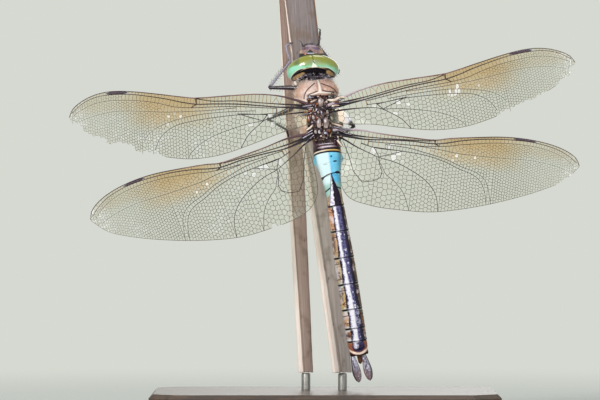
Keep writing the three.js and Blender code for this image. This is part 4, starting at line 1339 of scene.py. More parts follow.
# the left half of the blue is painted near white, a painted highlight, falling back to blue at the far left
# edge
blue = coated(saddleFinish.noise(here, 0.5, 2).step(0.35, 0.65).blend((100, 204, 252), (138, 222, 255)),
    ((0.15 - across).step(0.0, 0.5), (226, 250, 255)),
    ((0.0 - across).step(2.2, 2.8), (120, 208, 238)),
    ((along + wob).step(8.6, 9.8), (166, 210, 200)))
lowSide = out.step(-0.15, -0.6)
blue = lowSide.blend(blue, (190, 222, 226))
tan = fine.step(0.35, 0.65).blend((206, 182, 152), (128, 98, 74))
colour = (along + wob * 0.9 + across * 0.35).step(10.6, 11.5).blend(blue, tan)
black = fine.step(0.3, 0.7).blend((20, 13, 28), (38, 28, 52))
transverse = (along - 7.3 + across * 0.1 - across * across * 0.09 + wob * 0.12).size().step(0.17, 0.07)
knot = ((across - 1.2) * (across - 1.2) * 0.55 + (along - 7.22) * (along - 7.22) * 2.2
    + wob * 0.2).step(0.2, 0.11)
knotLeft = ((across + 1.95) * (across + 1.95) + (along - 7.85) * (along - 7.85)).step(0.12, 0.05)
dot = ((across - 0.35) * (across - 0.35) + (along - 4.0) * (along - 4.0)).step(0.045, 0.02)
dash = ((across - 1.0) * (across - 1.0) * 0.25 + (along - 5.05) * (along - 5.05) * 2.2
    + across * 0.004).step(0.07, 0.03)
dashLeft = (((across + 1.1) * (across + 1.1) * 0.2 + (along - 5.35) * (along - 5.35) * 2.5).step(0.05, 0.03)
    * 0.35)
pinch = (along - 9.65 - across.size() * 0.5).size().step(0.2, 0.09) * across.size().step(0.3, 0.8)
marks = transverse.most(knot).most(knotLeft).most(dot).most(dash).most(dashLeft).most(pinch)
marks = marks * out.step(-0.55, -0.35)
# the dark stripe down the back starts at the joint as a point and leans to the right,
# with a painted highlight on its left
left = -0.2 - (along - 7.4) * 0.19
right = (along - 7.4).step(-0.5, 4.6) * 1.15
stripe = ((across + wob * 0.1 - left).step(-0.07, 0.05) * (across + wob * 0.12 - right).step(0.05, -0.07)
    * along.step(7.25, 7.35))
colour = marks.most(stripe).held().blend(colour, black)
bent = along - across * 0.08 - across * across * 0.03
ochre = bent.near(2.62, 0.2, 0.1) * out.step(-0.3, 0.0)
colour = coated(colour,
    ((bent - 3.05).step(0.16, 0.02), black),
    (ochre, (0.0 - across).step(-0.5, 1.4).blend((216, 178, 106), (236, 220, 196))),
    ((bent - 2.4).step(0.04, -0.04), (40, 18, 26)))
lit = ((across - left - 0.04 + wob * 0.2).step(0.0, 0.08) * (left + 0.12 + (along - 7.4) * 0.16 + wob * 1.4
    - across).step(0.0, 0.12) * (along - 7.5).step(0.0, 0.5))
colour = coated(colour,
    (lit * stripe, fine.step(0.35, 0.6).blend((196, 188, 226), (252, 248, 255))),
    ((rim - 0.1).step(0.14, 0.02) * along.step(12.6, 12.9), (26, 20, 30)))
saddleMaterial = saddleFinish.done(saddleFinish.shine(
    colour=colour, rough=0.4 + fine * 0.12, coat=0.1, coatRough=0.2, specular=0.15,
    normal=saddleFinish.bump(fine, 0.02, 0.4)))

darkFinish = Finish("abdomen_dark")
here = darkFinish.place()
fine = darkFinish.noise(here, 2.4, 5)
broad = darkFinish.noise(here, 0.55, 3)
pits = darkFinish.cells(here, 5.0)
across, along, out = darkFinish.parts(darkFinish.layer("where", "Vector"))
band, rim = darkFinish.layer("band"), darkFinish.layer("rim")
wob = (fine - 0.5) * 0.35 + (broad - 0.5) * 0.35
black = broad.step(0.3, 0.7).blend((20, 16, 34), (44, 38, 70))
# a painted violet reflection of the sky across the middle of the band
black = ((across - 0.32 + wob * 1.8).size().step(0.6, 0.25) * 0.85).blend(black,
    fine.step(0.4, 0.62).blend((52, 50, 92), (116, 112, 166)))
# the light runs down the left of the band as a violet white gloss,
# broader on the last rings, with sparks beside it
tail = along.step(24.0, 33.0)
highlight = (across + 0.46 - tail * 0.16 + wob * 1.8).size() - tail * 0.18
black = highlight.step(0.46, 0.22).blend(black, fine.step(0.36, 0.54).blend((124, 118, 174), (220, 214, 240)))
highlightLine = highlight.step(0.28, 0.1) * (broad * 0.3 + fine * 0.8).step(0.34, 0.46)
sparks = darkFinish.cells(here, 1.5).step(0.32, 0.18) * across.near(0.2, 0.6, 0.4) * fine.step(0.37, 0.45)
highlightLine = highlightLine.most(sparks * 0.9)
# a painted sheen on the back of the eighth ring
tailSheen = along.near(35.7, 2.3, 1.7) * across.near(0.5, 0.95, 0.5) * (fine + broad * 0.4).step(0.58, 0.74)
black = coated(black,
    (tailSheen * 0.7, (186, 186, 204)),
    (highlightLine, (250, 248, 255)))
# the mottled sides; their pinkish-white patches and the lilac-grey flecks along the far left are painted
# highlights
brownSide = coated(along.step(14, 27).blend((212, 156, 122), (186, 164, 128)),
    (along.step(30, 33), (206, 172, 120)),
    (along.step(35.5, 38.5), (176, 118, 80)),
    (across.step(0.6, 1.4), along.step(35.5, 38.5).blend((104, 84, 62), (176, 98, 48))),
    (fine.step(0.5, 0.64), (96, 60, 52)),
    ((along * 0.62 + broad * 3).wave().step(0.35, 0.8) * out.near(0.35, 0.5, 0.2) * 0.7, (58, 36, 40)),
    (broad.step(0.52, 0.64) * 0.75, (232, 214, 214)),
    ((0.0 - across).step(1.55, 1.9) * broad.step(0.42, 0.52) * 0.6, (208, 202, 214)))
under = out.step(-0.25, -0.6)
brownSide = under.blend(brownSide, broad.step(0.4, 0.6).blend((128, 104, 80), (96, 74, 60)))
colour = (band + wob * 0.6).step(-0.06, 0.08).blend(black, brownSide)
colour = ((band + wob * 0.6).size().step(0.13, 0.05) * 0.9).blend(colour, (26, 18, 34))
keelLine = out.near(-0.28, 0.1, 0.03)
colour = (keelLine * 0.8).blend(colour, (40, 28, 30))
tick = band.step(-0.5, 0.1)
ringDark = (rim.near(0.05, 0.22, 0.1) * tick).most(rim.near(0.04, 0.12, 0.04) * 0.7)
ringLight = rim.near(0.24, 0.1, 0.03) * band.step(0.0, -0.3) * along.step(8.0, 12.0)
colour = (ringLight * (1.0 - across).step(0.0, 1.6) * 0.5).blend(colour, (214, 208, 224))
ringPale = rim.near(0.24, 0.1, 0.04) * band.step(-0.3, 0.2)
patches = rim.near(0.4, 0.24, 0.1) * across.near(-1.5, 0.34, 0.12) * (along - 25).step(0.0, 3.0)
colour = coated(colour,
    (ringPale * 0.6, (200, 196, 176)),
    (rim.near(1.15, 0.14, 0.05) * tick * (broad + 0.35).step(0.6, 0.9) * 0.8, (34, 24, 34)),
    (patches * 0.8, (208, 214, 208)),
    (ringDark, (24, 18, 26)))
firstRing = along.step(2.45, 2.3)
maroon = broad.step(0.35, 0.6).blend((22, 8, 14), (62, 28, 38))
bent = along - across * 0.08 - across * across * 0.03
sheen = (bent - 1.75 + wob * 0.4).size().step(0.32, 0.06)
sheen = sheen.most((bent - 0.95 + wob * 0.5).size().step(0.14, 0.03)) * across.near(-0.2, 2.2, 0.5)
maroon = (sheen * 0.85).blend(maroon, (236, 220, 236))
ochre = bent.near(2.62, 0.2, 0.1) * out.step(-0.3, 0.0)
maroon = coated(maroon,
    (ochre, (0.0 - across).step(-0.5, 1.4).blend((216, 178, 106), (236, 220, 196))),
    ((bent - 2.86).step(-0.06, 0.0), (20, 12, 20)))
colour = firstRing.blend(colour, maroon)
lastRing = along.step(41.1, 41.3)
uShape = ((across * across * 0.42 + (along - 42.1) * (along - 42.1) * 0.55 * (along - 41.6).step(-0.6, 0.4))
    + wob * 0.5).step(0.5, 0.9)
# a painted highlight on the left of the dark boss
glow = ((across + 0.5) * (across + 0.5) + (along - 41.8) * (along - 41.8) * 0.8 + wob * 2.4).step(0.42, 0.0)
boss = uShape.blend(glow.blend(fine.step(0.35, 0.65).blend((20, 16, 34), (60, 56, 100)), (236, 232, 250)),
    (along - 43.5 + across * across * 0.24).size().step(0.3, 0.1).blend((156, 92, 62), (244, 222, 206)))
boss = (along - 43.72 + across * across * 0.22).step(0.0, 0.12).blend(boss, (40, 24, 28))
colour = (lastRing * out.step(-0.1, 0.15)).blend(colour, boss)
darkMaterial = darkFinish.done(darkFinish.shine(
    colour=colour, rough=0.28 + fine * 0.18, coat=0.25, coatRough=0.12, specular=0.15,
    normal=darkFinish.bump(fine * 0.6 - pits * 0.4, 0.035, 0.5)))

for number in range(10):
    points, faces, layers = makeSegment(number)
    blueOne = number in (1, 2)
    node = f"abdomen_{number + 1:02d}"
    piece(f"abdomen_ring_{number + 1:02d}", points, faces, saddleMaterial if blueOne else darkMaterial,
        stands=node, sharp=50, layers=layers)
print("abdomen made")


cercus = {
    "length": 5.6, "halfWidth": 0.88, "halfDepth": 0.3, "spread": 1.15, "lean": 0.5,
    "leaf": [[0, 0.42], [0.25, 0.72], [0.6, 1], [0.85, 0.75], [1, 0.25]],
    "rib": 0.16, "dish": 0.1, "arch": 0.35, "around": 40, "rows": 64,
}
clasperPlate = {
    "length": 1.9, "halfWidth": 0.52, "taper": 0.14, "halfDepth": 0.3, "low": 0.12,
    "around": 20, "rows": 14,
}
leaf = profile(cercus["leaf"])


def makeCercus(side):
    around, rows = cercus["around"], cercus["rows"]
    start = abdomenLength - 0.12
    ends = []
    for i in range(rows + 1):
        share = i / rows
        middle = side * cercus["spread"] + cercus["lean"] * (share - 0.5)
        wide = cercus["halfWidth"] * leaf(share) * (1 - 0.75 * ease(share, 0.94, 1.0))
        row = []
        for x, z in ringOf(around):
            rib = (cercus["rib"] * bump(x * side, 0.28, 0.13) * ease(share, 0.05, 0.3)
                * (1 - ease(share, 0.8, 1)) * (z > 0))
            dish = -cercus["dish"] * bump(x * side, -0.3, 0.35) * (z > 0) * ease(share, 0.2, 0.5)
            deep = (cercus["halfDepth"] + 0.25 * (1 - share)) * (1 - 0.6 * ease(share, 0.94, 1.0))
            row.append(abdomenAt(start + share * cercus["length"], middle + power(x, 0.8) * wide,
                z * deep + rib + dish + cercus["arch"] * math.sin(share * math.pi)))
        ends.append(row)
    # across from the inner edge, -1, to the outer edge, 1
    points, faces = tube(ends)
    return points, faces, {"side": [side * c for _ in ends for c, _ in ringOf(around)] + [0, 0]}


clasperFinish = Finish("clasper")
here = clasperFinish.place()
fine = clasperFinish.noise(here, 2.6, 5, 0.65)
streak = clasperFinish.noise(clasperFinish.place(stretch=(1, 1, 0.25)), 3.2, 3)
z = clasperFinish.parts(here)[2]
side = clasperFinish.layer("side")
# the white flecks are painted glints
colour = coated((streak + (fine - 0.5) * 0.5).step(0.36, 0.6).blend((74, 64, 84), (186, 182, 204)),
    ((z - 11.0).step(0.0, -2.6), fine.step(0.35, 0.65).blend((160, 138, 146), (104, 76, 82))),
    (fine.step(0.56, 0.66), (240, 240, 250)),
    (side.step(0.4, 0.8), (24, 16, 26)),
    (side.step(-0.72, -0.95), (120, 60, 44)))
clasperMaterial = clasperFinish.done(clasperFinish.shine(colour=colour, rough=0.34 + fine * 0.2, coat=0.4,
    coatRough=0.2, normal=clasperFinish.bump(fine + streak * 0.5, 0.05, 0.7)))
for name, side in (("left", -1), ("right", 1)):
    points, faces, layers = makeCercus(side)
    piece("clasper_" + name, points, faces, clasperMaterial, stands="cercus_" + name,
        sharp=60, layers=layers)

rows = []
for i in range(clasperPlate["rows"] + 1):
    share = i / clasperPlate["rows"]
    along = abdomenLength - 0.1 + clasperPlate["length"] * share
    wide = (clasperPlate["halfWidth"] - clasperPlate["taper"] * share) * (1 - 0.6 * ease(share, 0.8, 1))
    deep = clasperPlate["halfDepth"] - 0.1 * ease(share, 0.8, 1)
    rows.append([abdomenAt(along, c * wide, -clasperPlate["low"] + s * deep)
        for c, s in ringOf(clasperPlate["around"])])
plateFinish = Finish("clasper_plate")
fine = plateFinish.noise(plateFinish.place(), 3, 4)
plateMaterial = plateFinish.done(plateFinish.shine(colour=fine.step(0.3, 0.7).blend((110, 66, 34),
    (62, 34, 22)), rough=0.45, normal=plateFinish.bump(fine, 0.04)))
points, faces = tube(rows)
piece("clasper_plate", points, faces, plateMaterial, stands="epiproct", sharp=60)
print("claspers made")


head = {
    "centre": (-2.5, -7.2, 70.7), "pitch": 22, "tilt": 5, "halfWidth": 5.23, "halfHeight": 3.6,
    "halfLength": 2.15, "halfLengthBehind": 2.9, "lowerBulge": 1.3, "sweep": 0.03,
    "front": (6.2, 0.75), "behind": (5.6, 1.75),  # balls that hollow the eyes and the bowl: radius, setback
    "faceTop": -2.9, "faceChin": 4.6, "eyeMiddle": (2.3, 0.3, 0.75), "eyeShift": 0.15,
    "eyeMesh": (112, 84), "bowlMesh": (96, 26), "faceMesh": (96, 96),  # around, and rows
    "faceWidth": [[-2.9, 0.7], [-2.5, 1.8], [-1.7, 2.5], [-0.6, 2.6], [1, 2.45], [2.4, 2.5], [3.4, 2.2],
        [4.1, 1.5], [4.6, 0.6]],
    "faceForward": [[-2.9, 2.2], [-2.5, 3.3], [-1.9, 4.2], [-1.1, 4.65], [-0.3, 4.5], [0.3, 4.0], [1, 4.05],
        [2, 3.6], [2.5, 3.3], [3.2, 3.1], [3.9, 2.2], [4.6, 0.8]],
}
# In the head's own frame x is across, y towards the chin and z forwards.
headTurn = Matrix.Rotation(math.radians(-head["tilt"]), 3,
    "Y") @ Matrix.Rotation(math.radians(-head["pitch"]), 3, "X")


def inHead(x, y, z):
    return headTurn @ Vector((x, y, z)) + Vector(head["centre"])


def inOutline(x, y, z, grow=0.0):
    px, py = x / (head["halfWidth"] + grow), y / (head["halfHeight"] + grow)
    zz = z + head["sweep"] * x * x
    fuller = head["lowerBulge"] * ease(py, -0.3, 0.6)
    length = (head["halfLength"] + fuller if zz > 0 else head["halfLengthBehind"]) + grow
    return px * px + py * py + (abs(zz) / length) ** (2 / 0.85) < 1


def pastHollow(x, y, z, hollow):
    # how far a place is outside one of the two balls that hollow the back of the head
    radius, back = hollow
    return math.sqrt(x * x + (y / 1.1) ** 2 + (z + back + radius) ** 2) - radius


def furthest(inside, high=8.0, turns=18):
    # the largest step for which inside() still holds
    low = 0.0
    for _ in range(turns):
        mid = (low + high) / 2
        low, high = (mid, high) if inside(mid) else (low, mid)
    return low


def seamAt(y, z):
    # the eyes meet along a line that leans a little across the head
    return min(max(0.09 + (2.2 + 0.375 * y - 0.927 * z) * 0.2, 0.0), 0.45) * ease(-y, 1.0, 2.5)


def makeEye(side):
    around, rows = head["eyeMesh"]
    out, down, ahead = head["eyeMiddle"]
    centre = Vector((side * out + head["eyeShift"], down, ahead))

    def within(p):
        x, y, z = p
        return ((x - seamAt(y, z)) * side > 0.016 and inOutline(x, y, z)
            and pastHollow(x, y, z, head["front"]) > 0)
    grid = []
    for i in range(rows + 1):
        polar = math.pi * i / rows
        row = []
        for c, s in ringOf(around):
            aim = Vector((math.cos(polar), math.sin(polar) * c, math.sin(polar) * s))
            row.append(centre + aim * furthest(lambda r: within(centre + aim * r)))
        grid.append(row)
    body, faces = capped(np.array(grid))
    return body, faces, {"local": body, "fromRim": [pastHollow(*p, head["front"]) for p in body]}


eyeFinish = Finish("eye")
here = eyeFinish.place()
lx, ly, _ = eyeFinish.parts(eyeFinish.layer("local", "Vector"))
z = eyeFinish.parts(here)[2]
facets = eyeFinish.cells(here, 16.0, jitter=0.25)
soft = eyeFinish.noise(here, 0.45, 2)
behind = eyeFinish.layer("fromRim")
# the mint band is narrow in the middle and takes in the lower part of the far side
wide = (0.0 - lx).step(1.0, 4.6) * 1.1 + lx.step(2.6, 5.0) * 0.35
band = (lx - 0.2).size().step(1.3, 3.2) * 0.36      # black along the inner margin, wider to the sides
d = behind - band - wide * (z - 71.2).step(0.6, -1.0) + (soft - 0.5) * 0.25
colour = coated(d.step(0.1, 0.5).blend((152, 222, 192), (136, 186, 126)),
    (d.step(0.4, 0.95), (134, 152, 70)),
    (d.step(0.9, 1.7), (140, 142, 34)),
    (d.step(2.2, 4.0), (100, 116, 36)),
    ((ly - 0.6).step(0.0, 1.6) * 0.7, (92, 116, 70)))
grey = lx.near(0.2, 1.9, 0.4) * d.step(0.3, 0.8) * d.step(1.9, 1.1)
colour = coated(colour,
    (grey * 0.5, (150, 160, 134)),
    (lx.near(-3.1, 0.95, 0.2) * d.step(0.35, 0.8) * 0.6, (70, 78, 56)),
    (lx.near(-4.4, 0.8, 0.1) * d.step(0.1, 0.5) * 0.6, (112, 146, 36)),
    (lx.step(3.2, 4.4) * d.step(0.5, 1.0) * 0.45, (160, 150, 34)),
    ((behind - band - 0.04).step(0.09, 0.02), (216, 226, 196)),
    ((behind - band + 0.02).step(0.03, -0.03), (12, 8, 12)),
    ((0.0 - lx).step(4.1, 5.2) * 0.5, (88, 164, 116)))
eyeMaterial = eyeFinish.done(eyeFinish.shine(colour=colour, rough=0.2 + facets * 0.04, coat=0.8,
    coatRough=0.06, normal=eyeFinish.bump(facets, 0.005, 0.3)))
for name, side in (("left", -1), ("right", 1)):
    points, faces, layers = makeEye(side)
    piece("eye_" + name + "_dome", [inHead(*p) for p in points], faces, eyeMaterial, stands="eye_" + name,
        sharp=55, layers=layers)


def makeSkull():
    # the bowl behind the eyes: its front meets them, and its hollow back faces the thorax
    around, rings = head["bowlMesh"]
    rows = []
    for (radius, back), order in ((head["front"], range(rings + 1)),
            (head["behind"], range(rings, -1, -1))):
        ball = lambda r: -back - radius + math.sqrt(max(radius * radius - r * r, 0))
        edges = []
        for c, s in ringOf(around):
            s *= 1.1
            edges.append(
                (c, s, furthest(lambda r: r < radius and inOutline(r * c, r * s, ball(r), -0.05), 7.0)))
        for i in order:
            share = i / rings
            dent = 0.16 * bump(share, 0.86, 0.05) - 0.12 * bump(share, 0.7, 0.12) if back > 1 else 0
            rows.append([(r * share * c, r * share * s, ball(r * share) + dent) for c, s, r in edges])
    return capped(np.array(rows))


points, faces = makeSkull()
skullFinish = Finish("head_back")
here = skullFinish.place()
x, _, z = skullFinish.parts(here)
fine = skullFinish.noise(here, 2.5, 4)
rim = skullFinish.layer("fromRim")


def spindle(mx, mz, rx, rz, lean):
    across, up = x - mx, z - mz
    along, aside = across + up * lean, up - across * lean
    return (along * along / rx ** 2 + aside * aside / rz ** 2 + (fine - 0.5) * 0.5).step(1.2, 0.75)


tan = spindle(-5.4, 68.72, 1.65, 0.42, 0.52).most(spindle(1.35, 69.35, 1.25, 0.5, -0.3))
colour = coated(fine.step(0.35, 0.7).blend((6, 4, 8), (26, 18, 28)),
    (tan, fine.step(0.3, 0.7).blend((196, 158, 112), (150, 122, 84))),
    ((rim + 0.05).step(-0.05, 0.0) * x.near(-2.3, 3.0, 1.5), (240, 206, 164)))
skullMaterial = skullFinish.done(skullFinish.shine(colour=colour, rough=0.4 + fine * 0.2, specular=0.12,
    normal=skullFinish.bump(fine, 0.05, 0.6)))
piece("head_bowl", [inHead(*p) for p in points], faces, skullMaterial, stands="head_back",
    sharp=45, layers={"fromRim": [pastHollow(*p, head["front"]) for p in points]})

faceWidth, faceForward = profile(head["faceWidth"]), profile(head["faceForward"])


def makeFace():
    around, rows = head["faceMesh"]
    grid = []
    for i in range(rows + 1):
        y = head["faceTop"] + (head["faceChin"] - head["faceTop"]) * i / rows
        row = []
        for cx, cz in ringOf(around):
            x = power(cx, 0.75) * faceWidth(y)
            z = power(cz, 0.75) * faceForward(y) if cz > 0 else cz * 1.2
            if cz > 0:
                # the cuts between brow, nose plate, lip and jaws, and the two swellings of the brow
                cut = 0.14 * bump(y, 0.32, 0.14) + 0.12 * bump(y, 2.45, 0.13) + 0.1 * bump(y, 3.65, 0.12)
                cut += (0.12 * bump(x, 0, 0.3) * bump(y, -2.0, 0.8)
                    + 0.08 * bump(abs(x), faceWidth(y) * 0.82, 0.16) * ease(y, -1.0, 0.5))
                z -= (cut - 0.12 * bump(abs(x), 1.05, 0.6) * bump(y, -1.9, 0.6)) * ease(cz, 0.1, 0.5)
            row.append((x, y, z))
        grid.append(row)
    return tube(grid)


points, faces = makeFace()
faceFinish = Finish("face")
here = faceFinish.place()
x, _, z = faceFinish.parts(here)
ly = faceFinish.parts(faceFinish.layer("local", "Vector"))[1]
fine = faceFinish.noise(here, 2.6, 4)
across, up = x + 2.85, z - 74.6
aside = across.size()
bow = up + across * across * 0.12 + 0.14   # the brow's top line is bowed
colour = fine.step(0.3, 0.7).blend((166, 134, 128), (126, 98, 98))
colour = aside.step(1.5, 2.1).blend(colour, (198, 166, 138))
patch = ((aside - 0.98) * (aside - 0.98) / 0.62 + (bow - 0.02) * (bow - 0.02) / 0.1
    + (fine - 0.5) * 0.8).step(1.15, 0.6)
colour = coated(colour,
    (patch * 0.9, (104, 84, 116)),
    (bow.near(0.42, 0.1, 0.03), (162, 144, 166)),
    ((bow - 0.52).step(0.0, 0.1), (38, 26, 46)))
suture = (up + 0.32 + (aside - 1.75) * 1.1).size().step(0.14, 0.05) * aside.near(1.6, 0.55, 0.4)
colour = suture.blend(colour, (60, 36, 34))
triangle = ((-0.4 - up) - (across + 0.1).size() * 1.0).step(-0.06, 0.08) * (up + 1.2).step(-0.08, 0.05)
colour = coated(colour,
    (triangle, (16, 10, 14)),
    (up.near(-1.24, 0.1, 0.04) * aside.step(0.75, 0.6), (196, 208, 226)))
brow = (up + 1.5 - aside * 0.06).step(0.16, 0.04)
brow = brow.most((up + 1.36).step(0.12, 0.02) * aside.step(1.1, 1.3))
colour = brow.blend(colour, (22, 14, 20))
ochre = coated(fine.step(0.35, 0.65).blend((182, 162, 94), (152, 130, 76)),
    (ly.near(3.62, 0.28, 0.1), (44, 30, 26)),
    (ly.near(0.32, 0.2, 0.05) * 0.6, (92, 70, 46)),
    (ly.near(-0.6, 0.22, 0.08), (84, 100, 120)))
colour = ly.step(-0.95, -0.6).blend(colour, ochre)
faceMaterial = faceFinish.done(faceFinish.shine(colour=colour, rough=0.42 + fine * 0.15, coat=0.2,
    coatRough=0.3, normal=faceFinish.bump(fine, 0.05, 0.5)))
piece("face_front", [inHead(*p) for p in points], faces, faceMaterial, stands="face",
    sharp=60, layers={"local": points})

# the pale wedge between the hind ends of the eyes, with a violet bead at its tip
wedge = {
    "start": -0.55, "middle": 0.16, "drift": 0.3, "half": 0.04, "growth": 0.66, "around": 24, "rows": 20,
}
rows = []
for i in range(wedge["rows"] + 1):
    share = i / wedge["rows"]
    z = wedge["start"] - share
    middle = wedge["middle"] + wedge["drift"] * share
    half = wedge["half"] + wedge["growth"] * share ** 1.3
    row = []
    for c, s in ringOf(wedge["around"]):
        x = middle + c * half
        top = furthest(lambda r: inOutline(x, -r, z), 5.0)
        row.append((x, -top - (0.07 if s > 0 else 0.35) * s, z))
    rows.append(row)
points, faces = tube(rows)
wedgeFinish = Finish("head_wedge")
here = wedgeFinish.place()
fine = wedgeFinish.noise(here, 2.4, 3)
cream = fine.step(0.3, 0.7).blend((252, 250, 236), (238, 236, 214))
colour = (wedgeFinish.parts(here)[2] - 71.1).step(-0.1, 0.3).blend(cream, (206, 240, 214))
wedgeMaterial = wedgeFinish.done(wedgeFinish.shine(colour=colour, rough=0.35, coat=0.4))
piece("head_wedge", [inHead(*p) for p in points], faces, wedgeMaterial, sharp=60)

# the three small eyes, the feelers' sockets and that bead; the last number is the colour
beadSet = [
    (-0.1, -2.8, 2.1, 0.16, 4), (-1.2, -2.6, 1.75, 0.22, 1), (0.95, -2.6, 1.75, 0.2, 0),
    (-1.35, -2.5, 3.1, 0.26, 2), (1.35, -2.5, 3.1, 0.26, 2), (0.36, -3.53, -0.42, 0.13, 3),
]
beadTones = [(206, 128, 62), (120, 92, 78), (92, 70, 116), (18, 12, 16)]
beads, shades = [], []
for x, y, z, r, shade in beadSet:
    polars = [math.pi * i / 12 for i in range(13)]
    grid = [[(x + r * c * math.sin(b), y + r * 0.9 * s * math.sin(b), z + r * math.cos(b))
        for c, s in ringOf(20)] for b in polars]
    beads.append(capped(np.array(grid)))
    shades += [shade] * len(beads[-1][0])
points, faces = joined(beads)
beadFinish = Finish("small_eyes")
fine = beadFinish.noise(beadFinish.place(), 2.0, 2)
shade = beadFinish.layer("shade")
colour = fine.step(0.35, 0.65).blend((214, 206, 200), (186, 170, 168))
for number, look in enumerate(beadTones):
    colour = shade.near(number + 1.0, 0.5).blend(colour, look)
beadMaterial = beadFinish.done(beadFinish.shine(colour=colour, rough=0.2, coat=0.8, coatRough=0.1))
piece("small_eyes", [inHead(*p) for p in points], faces, beadMaterial, sharp=80,
    layers={"shade": shades})

shellFinish = Finish("dark_shell")
here = shellFinish.place()
fine = shellFinish.noise(here, 2.6, 4)
shellMaterial = shellFinish.done(shellFinish.shine(
    colour=fine.step(0.35, 0.7).blend((30, 22, 26), (74, 58, 56)), rough=0.36 + fine * 0.2, coat=0.2,
    coatRough=0.2, specular=0.3, normal=shellFinish.bump(fine, 0.04, 0.6)))
feeler = {
    "line": [(1.35, -2.4, 3.3), (1.62, -2.3, 4.0), (1.85, -2.0, 4.75), (2.3, -0.9, 5.6)],
    "radii": [[0, 0.24], [0.12, 0.26], [0.18, 0.14], [0.25, 0.17], [0.34, 0.09], [0.7, 0.06], [1, 0.03]],
    "around": 12, "rows": 40,
}
for name, side in (("left", -1), ("right", 1)):
    line = [inHead(side * x, y, z) for x, y, z in feeler["line"]]
    points, faces = tube(limbRows(line, feeler["radii"], feeler["around"], feeler["rows"]))
    piece("feeler_" + name, points, faces, shellMaterial, stands="antenna_" + name,
        sharp=60)

neck = {
    "line": [(-2.45, -6.3, 70.2), (-2.2, -6.8, 69.1), (-1.85, -7.2, 67.6)],
    "radii": [[0, 1.2], [0.2, 1.55], [0.3, 1.35], [0.45, 1.85], [0.58, 1.6], [0.75, 2.05], [1, 2.1]],
    "around": 48, "rows": 60,
}
points, faces = tube(limbRows(neck["line"], neck["radii"], neck["around"], neck["rows"]))
neckFinish = Finish("neck")
here = neckFinish.place()
fine = neckFinish.noise(here, 2.4, 4)
z = neckFinish.parts(here)[2]
colour = fine.step(0.4, 0.62).blend((10, 7, 14), (34, 26, 42))
folds = ((z * 5.6).wave() * 0.5 + fine).step(0.75, 1.0)
colour = (folds * 0.5).blend(colour, (150, 134, 148))
neckMaterial = neckFinish.done(neckFinish.shine(
    colour=colour, rough=0.45, specular=0.25, normal=neckFinish.bump(fine + folds, 0.06)))
piece("neck_folds", points, faces, neckMaterial, stands="neck", sharp=60)
print("head made")


# hip, knee, ankle, sole and claw of each leg
legSet = {
    "front_left": [(-2.8, -4.0, 66.4), (-11.2, -1.8, 66.6), (-6.95, 1.3, 72.1), (-7.75, 1.6, 75.0),
        (-7.1, 2.1, 75.6)],
    "front_right": [(-0.8, -4.0, 66.6), (2.75, -1.6, 69.9), (-1.25, 1.2, 75.1), (-1.0, 1.6, 77.2),
        (-0.95, 1.9, 78.2)],
    "middle_left": [(-3.2, -2.9, 63.8), (-11.5, -1.2, 60.3), (-7.7, 2.9, 58.2), (-7.3, 3.6, 56.6),
        (-7.1, 4.0, 55.8)],
    "middle_right": [(0.2, -3.1, 63.2), (5.9, -2.4, 58.9), (3.2, 1.6, 56.8), (2.9, 2.3, 55.2),
        (2.7, 2.7, 54.4)],
    "hind_left": [(-2.4, -3.1, 61.2), (-0.9, -1.4, 52.9), (0.5, 1.0, 47.4), (0.8, 1.5, 45.2),
        (0.9, 1.9, 44.3)],
    "hind_right": [(0.0, -3.1, 60.8), (2.4, -1.2, 53.0), (2.3, 1.0, 47.6), (2.2, 1.5, 45.4),
        (2.1, 1.9, 44.5)],
}
legLook = {
    "thigh": [[0, 0.5], [0.06, 0.56], [0.12, 0.5], [0.3, 0.53], [0.8, 0.38], [0.93, 0.32], [0.97, 0.37],
        [1, 0.3]],
    "paleThigh": [[0, 0.42], [0.1, 0.7], [0.35, 1.05], [0.65, 0.95], [0.85, 0.55], [0.93, 0.36],
        [0.97, 0.4], [1, 0.3]],
    "shin": [[0, 0.3], [0.04, 0.33], [0.12, 0.25], [0.9, 0.22], [0.97, 0.26], [1, 0.22]],
    "foot": [[0, 0.18], [0.12, 0.23], [0.3, 0.21], [0.34, 0.17], [0.38, 0.22], [0.62, 0.2], [0.66, 0.16],
        [0.7, 0.21], [0.94, 0.2], [1, 0.12]],
    "around": 16, "steps": 48, "footSteps": 60,
    "claw": [[0, 0.09], [0.5, 0.075], [1, 0.015]],
    "spineGap": 0.62, "spineLength": 1.0, "spineGirth": 0.05, "spineLean": 0.55, "spineSides": 5,
    # on thighs and shins: the limb's radius there, the turns of the rows, where they start and stop
    "spineRows": ((0.38, (0.7, -0.7), (0.45, 0.95)), (0.22, (0.8, -0.8, 2.3), (0.06, 0.96))),
}

# one spine, long along Z, that the tree stands along each line
spineRows = [[(c * r * mm, s * r * mm, h * mm) for c, s in ringOf(legLook["spineSides"])]
    for r, h in ((1.0, 0.0), (0.75, 0.4), (0.12, 1.0))]
spinePoints, spineFaces = tube(np.array(spineRows) / mm)
spineMesh = bpy.data.meshes.new("one_spine")
spineMesh.from_pydata((spinePoints * mm).tolist(), [], [list(f) for f in spineFaces])
oneSpine = bpy.data.objects.new("one_spine", spineMesh)

